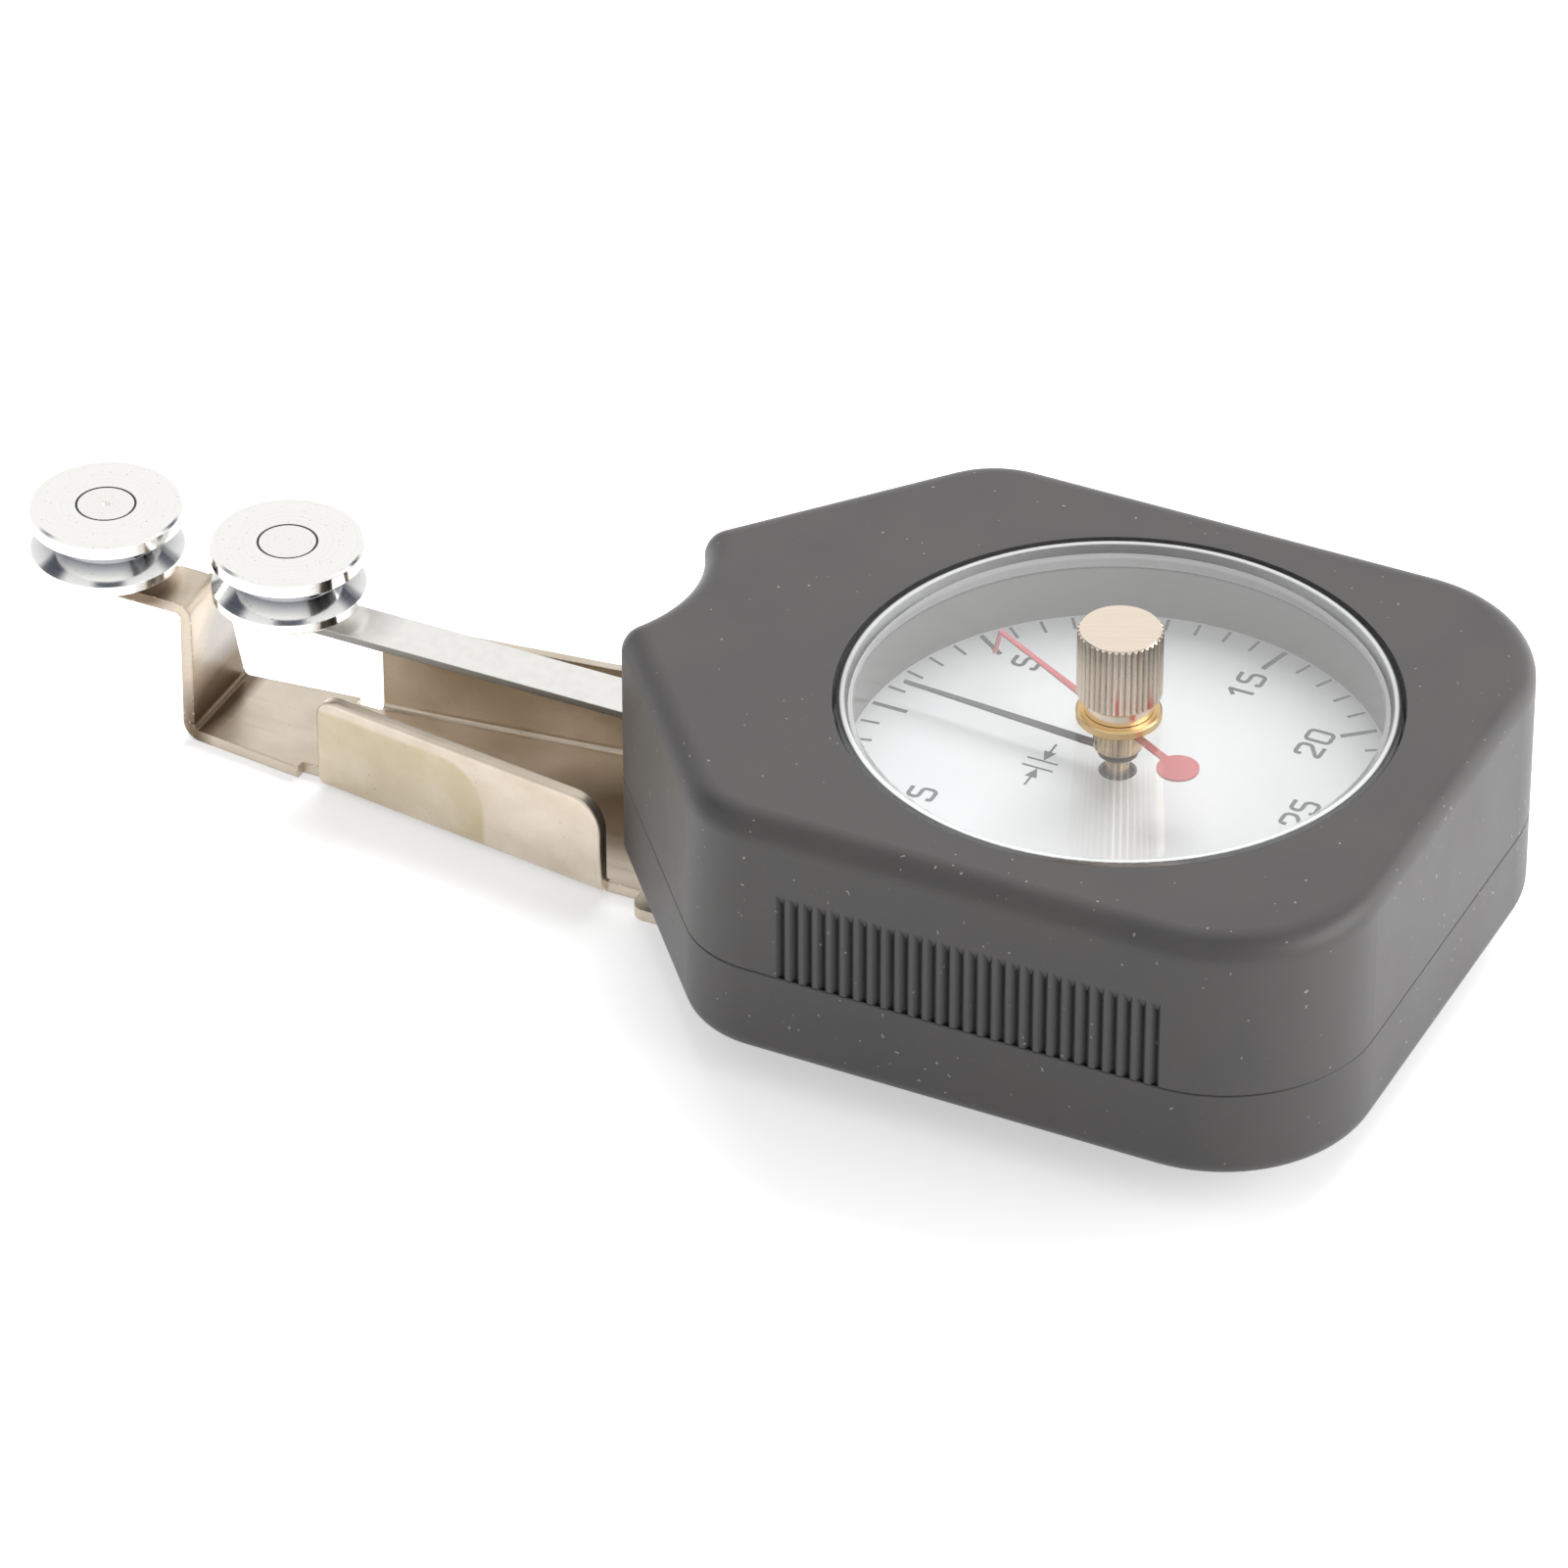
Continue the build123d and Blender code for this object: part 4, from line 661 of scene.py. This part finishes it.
class GAUGE_OT_hands(bpy.types.Operator):
    """Lacquer the two hands"""

    bl_idname = "gauge.hands"
    bl_label = "Hands"

    def execute(self, context):
        dress(["main_hand"], painted("lacquered_hand_black", linear("3a3b3e"), linear("323336")))
        dress(["peak_hand"], painted("lacquered_hand_red", linear("cc5058"), linear("c2444d")))
        return {"FINISHED"}


class GAUGE_OT_crystal(bpy.types.Operator):
    """Polish the clear crystal"""

    bl_idname = "gauge.crystal"
    bl_label = "Crystal"

    def execute(self, context):
        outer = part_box("crystal")[1][0] / MM
        # The second colour is the shade painted on the crystal's outer edge.
        dress(["crystal"], clear_acrylic("moulded_acrylic_clear", linear("f4f5f4"), linear("3a3b3c"), outer))
        dress(["crystal_gasket"], painted("gasket_rubber_black", linear("222224"), linear("1c1c1e"), rough=0.7))
        return {"FINISHED"}


class GAUGE_OT_knob(bpy.types.Operator):
    """Finish the reset knob, its collar and the hub of the red hand"""

    bl_idname = "gauge.knob"
    bl_label = "Reset knob"

    def execute(self, context):
        # The knob's top was brushed across, 26 degrees off the case's length.
        brushing = radians(25.8454)
        # The knurl is darker from its root at 3.8 mm out towards its crest at 4 mm.
        knurl = (3.79, 3.92, linear("b9ada1"))
        nickel = brushed_metal(
            "brushed_nickel_warm", linear("f1e3d3"), linear("ebdbc9"), (5, 0.1, 5), rough=0.22, strength=0.25,
            turn=brushing, knurl=knurl,
        )
        dress(["reset_knob"], nickel)
        # The hub's drawn streaks are real; their strong dark tone is painted reflection.
        hub = brushed_metal("drawn_nickel_painted_reflections", linear("dcc5a6"), linear("93795c"), (0.25, 0.25, 5), rough=0.15)
        dress(["knob_stem", "peak_hand_hub", "main_hand_bush"], hub)
        brass = turned_metal("turned_brass_light", linear("e4c797"), linear("d9b984"), DIAL_AXIS, rough=0.3)
        dress(["knob_collar"], brass)
        return {"FINISHED"}


def box_middle(node):
    """Middle of a CAD node's box, in millimetres."""
    low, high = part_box(node)
    return tuple((a + b) / 2 / MM for a, b in zip(low, high))


class GAUGE_OT_lever(bpy.types.Operator):
    """Finish the lever bar"""

    bl_idname = "gauge.lever"
    bl_label = "Lever"

    def execute(self, context):
        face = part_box("lever_arm")[1][2] / MM
        # The third colour is the painted edge highlights, the fourth the shade painted on the sides and round the
        # pulley.
        bar = plated_bar(
            "zinc_plated_bar", linear("f1f0ec"), linear("ebeae6"), linear("fbfaf7"), linear("8b8985"), face,
            box_middle("lever_pulley"),
        )
        dress(["lever_arm"], bar)
        return {"FINISHED"}


# The pulleys' top rim and the width of their groove, in millimetres, and how far the painted shade
# spreads past the groove's edge.
TOP_RIM = 1.5
GROOVE_WIDTH = 3.2
GROOVE_SHADE_SPREAD = 0.01


class GAUGE_OT_pulleys(bpy.types.Operator):
    """Finish the two turned pulleys and their axles"""

    bl_idname = "gauge.pulleys"
    bl_label = "Pulleys"

    def execute(self, context):
        for side in ("fixed", "lever"):
            axis = box_middle(f"{side}_pulley")
            low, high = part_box(f"{side}_pulley")
            wheel_radius = (high[0] - low[0]) / 2 / MM
            root = (axis[0], axis[1], high[2] / MM - TOP_RIM - GROOVE_WIDTH / 2)
            groove = (root, GROOVE_WIDTH / 2 + GROOVE_SHADE_SPREAD, wheel_radius)
            low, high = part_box(f"{side}_pulley_axle")
            head = (high[0] - low[0]) / 2 / MM
            wheel = turned_metal(
                f"turned_aluminium_{side}", linear("f8f7f4"), linear("f5f4f1"), axis, rough=0.12, pitch=0.3, pin=head,
                groove=groove,
            )
            dress([f"{side}_pulley"], wheel)
            pin = turned_metal(f"turned_steel_{side}", linear("f6f5f2"), linear("f2f1ed"), axis)
            dress([f"{side}_pulley_axle"], pin)
        return {"FINISHED"}


def seen_directly(tree):
    """One where the eye sees a surface, straight, in a mirror or through glass, and nought where it only lights."""
    ray = add_node(tree, "LightPath").outputs
    seen = {0: ray["Is Camera Ray"], 1: ray["Is Glossy Ray"]}
    seen = {0: add_node(tree, "Math", {"operation": "MAXIMUM"}, seen), 1: ray["Is Transmission Ray"]}
    direct = {0: ray["Diffuse Depth"], 1: 0.5}
    seen = {
        0: add_node(tree, "Math", {"operation": "MAXIMUM"}, seen),
        1: add_node(tree, "Math", {"operation": "LESS_THAN"}, direct),
    }
    return add_node(tree, "Math", {"operation": "MULTIPLY"}, seen)


# Dark gaps between the studio tent's panels: direction round the gauge, rise and half width, in degrees.
TENT_GAPS = ((-170, 41, 15), (53, 33, 15), (-64, 80, 12))
# Softboxes: name, where each hangs, its size, and whether mirrors and glass show it.
SOFTBOXES = (
    ("overhead_softbox", (-0.1, 0.45, 0.5), (0.7, 0.5), False),
    ("side_softbox", (0.75, 0.15, 0.3), (0.9, 0.5), True),
)
# The lamps are aimed at the middle of the gauge.
LAMP_TARGET = Vector((-0.03, 0, 0))
# The floor reaches this far each way, in metres.
FLOOR_REACH = 3.0
SENSOR_WIDTH = 36
# The photograph's side, and where it shows the dial axis at the case's top, right of and above its middle, in pixels.
IMAGE_WIDTH = 1601
AXIS_RIGHT, AXIS_ABOVE = 342.3001, 87.8157


class GAUGE_OT_stage(bpy.types.Operator):
    """Set up the floor, the soft light and the camera"""

    bl_idname = "gauge.stage"
    bl_label = "Studio"

    def execute(self, context):
        studio = context.scene.gauge_studio
        self.floor(context, studio)
        self.room(context, studio)
        self.softboxes(context, studio)
        self.camera(context, studio)
        context.scene.view_settings.view_transform = "Standard"
        return {"FINISHED"}

    def floor(self, context, studio):
        """White studio paper, which glows a little where it is seen so that it fades into the room."""
        build = bmesh.new()
        bmesh.ops.create_grid(build, x_segments=1, y_segments=1, size=FLOOR_REACH)
        obj = bpy.data.objects.new("floor", write_mesh("floor", build))
        context.scene.collection.objects.link(obj)
        material, tree = start_material("studio_paper_white")
        paper = add_node(tree, "BsdfDiffuse", {}, {"Color": studio.floor_colour})
        glow = add_node(tree, "Emission", {}, {"Strength": studio.floor_glow})
        both = add_node(tree, "AddShader", {}, {0: paper, 1: glow})
        shown = add_node(tree, "MixShader", {}, {0: seen_directly(tree), 1: paper, 2: both})
        add_node(tree, "OutputMaterial", {}, {"Surface": shown})
        obj.data.materials.append(material)

    def room(self, context, studio):
        """White tent with three dark gaps between its panels, which polished metal shows, but no second mirror."""
        world = bpy.data.worlds.new("studio_room")
        context.scene.world = world
        world.use_nodes = True
        tree = world.node_tree
        tree.nodes.clear()
        way = add_node(tree, "TexCoord").outputs["Generated"]
        gap = None
        for turn, rise, half in TENT_GAPS:
            turn, rise = radians(turn), radians(rise)
            aim = (cos(turn) * cos(rise), sin(turn) * cos(rise), sin(rise))
            near = add_node(tree, "VectorMath", {"operation": "DOT_PRODUCT"}, {0: way, 1: aim})
            # The gap's edge is blurred from 0.7 to 1.2 of its half width.
            blur = [(cos(radians(half * 1.2)), 0), (cos(radians(half * 0.7)), 1)]
            spot = add_node(tree, "ValToRGB", {"stops": blur}, {"Fac": near})
            gap = spot if gap is None else add_node(tree, "Math", {"operation": "MAXIMUM"}, {0: gap, 1: spot})
        bounces = add_node(tree, "LightPath").outputs["Glossy Depth"]
        first = add_node(tree, "Math", {"operation": "LESS_THAN"}, {0: bounces, 1: 1.5})
        dark = add_node(tree, "Math", {"operation": "MULTIPLY"}, {0: gap, 1: first})
        tent = add_node(tree, "Mix", COLOURS, {"Factor": dark, "A": WHITE, "B": linear("5c606c")})
        seen = seen_directly(tree)
        colour = add_node(tree, "Mix", COLOURS, {"Factor": seen, "A": WHITE, "B": tent})
        level = add_node(tree, "MapRange", {}, {"Value": seen, "To Min": studio.sky_level, "To Max": 1.0})
        light = add_node(tree, "Background", {}, {"Color": colour, "Strength": level})
        add_node(tree, "OutputWorld", {}, {"Surface": light})

    def softboxes(self, context, studio):
        """A softbox overhead and a larger one low on the right, both aimed at the gauge."""
        for (name, spot, size, mirrored), power in zip(SOFTBOXES, (studio.top_power, studio.side_power)):
            lamp = bpy.data.lights.new(name, "AREA")
            lamp.shape = "RECTANGLE"
            lamp.size, lamp.size_y = size
            lamp.energy = power
            softbox = bpy.data.objects.new(name, lamp)
            softbox.location = spot
            softbox.visible_glossy = softbox.visible_transmission = mirrored
            softbox.rotation_euler = (LAMP_TARGET - softbox.location).to_track_quat("-Z", "Y").to_euler()
            context.scene.collection.objects.link(softbox)

    def camera(self, context, studio):
        """Camera at the photograph's angle, with the dial axis where the photograph shows it."""
        turn, rise, roll = studio.camera_turn, studio.camera_rise, studio.camera_roll
        back = Vector((sin(turn) * cos(rise), -cos(turn) * cos(rise), sin(rise)))
        right = Vector((cos(turn), sin(turn), 0))
        up = back.cross(right)
        across = right * cos(roll) + up * sin(roll)
        upright = up * cos(roll) - right * sin(roll)
        focal = studio.camera_lens / SENSOR_WIDTH * IMAGE_WIDTH
        top = Vector((0, 0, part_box("top_case")[1][2]))
        spot = back - across * (AXIS_RIGHT / focal) - upright * (AXIS_ABOVE / focal)
        data = bpy.data.cameras.new("camera")
        data.lens = studio.camera_lens
        data.sensor_width = SENSOR_WIDTH
        camera = bpy.data.objects.new("camera", data)
        axes = Matrix((across, upright, back)).transposed().to_4x4()
        camera.matrix_world = Matrix.Translation(top + spot * studio.camera_distance) @ axes
        context.scene.collection.objects.link(camera)
        context.scene.camera = camera


class GAUGE_PT_sidebar(bpy.types.Panel):
    """Steps that finish the gauge, in their order"""

    bl_idname = "GAUGE_PT_sidebar"
    bl_label = "Dial tension gauge"
    bl_space_type = "VIEW_3D"
    bl_region_type = "UI"
    bl_category = "Gauge"

    def draw(self, context):
        for step in STEPS:
            self.layout.operator(step.bl_idname)
        for group in (context.scene.gauge_look, context.scene.gauge_studio):
            for name in group.bl_rna.properties.keys():
                if name not in {"rna_type", "name"}:
                    self.layout.prop(group, name)


STEPS = (
    GAUGE_OT_movement, GAUGE_OT_case, GAUGE_OT_bracket, GAUGE_OT_dial, GAUGE_OT_hands, GAUGE_OT_crystal,
    GAUGE_OT_knob, GAUGE_OT_lever, GAUGE_OT_pulleys, GAUGE_OT_stage,
)
CLASSES = (GaugeLook, GaugeStudio, *STEPS, GAUGE_PT_sidebar)


def register():
    for item in CLASSES:
        bpy.utils.register_class(item)
    bpy.types.Scene.gauge_look = bpy.props.PointerProperty(type=GaugeLook)
    bpy.types.Scene.gauge_studio = bpy.props.PointerProperty(type=GaugeStudio)


def unregister():
    del bpy.types.Scene.gauge_studio
    del bpy.types.Scene.gauge_look
    for item in reversed(CLASSES):
        bpy.utils.unregister_class(item)


def main():
    register()
    for step in STEPS:
        getattr(bpy.ops.gauge, step.bl_idname.split(".")[1])()


if __name__ == "__main__":
    main()
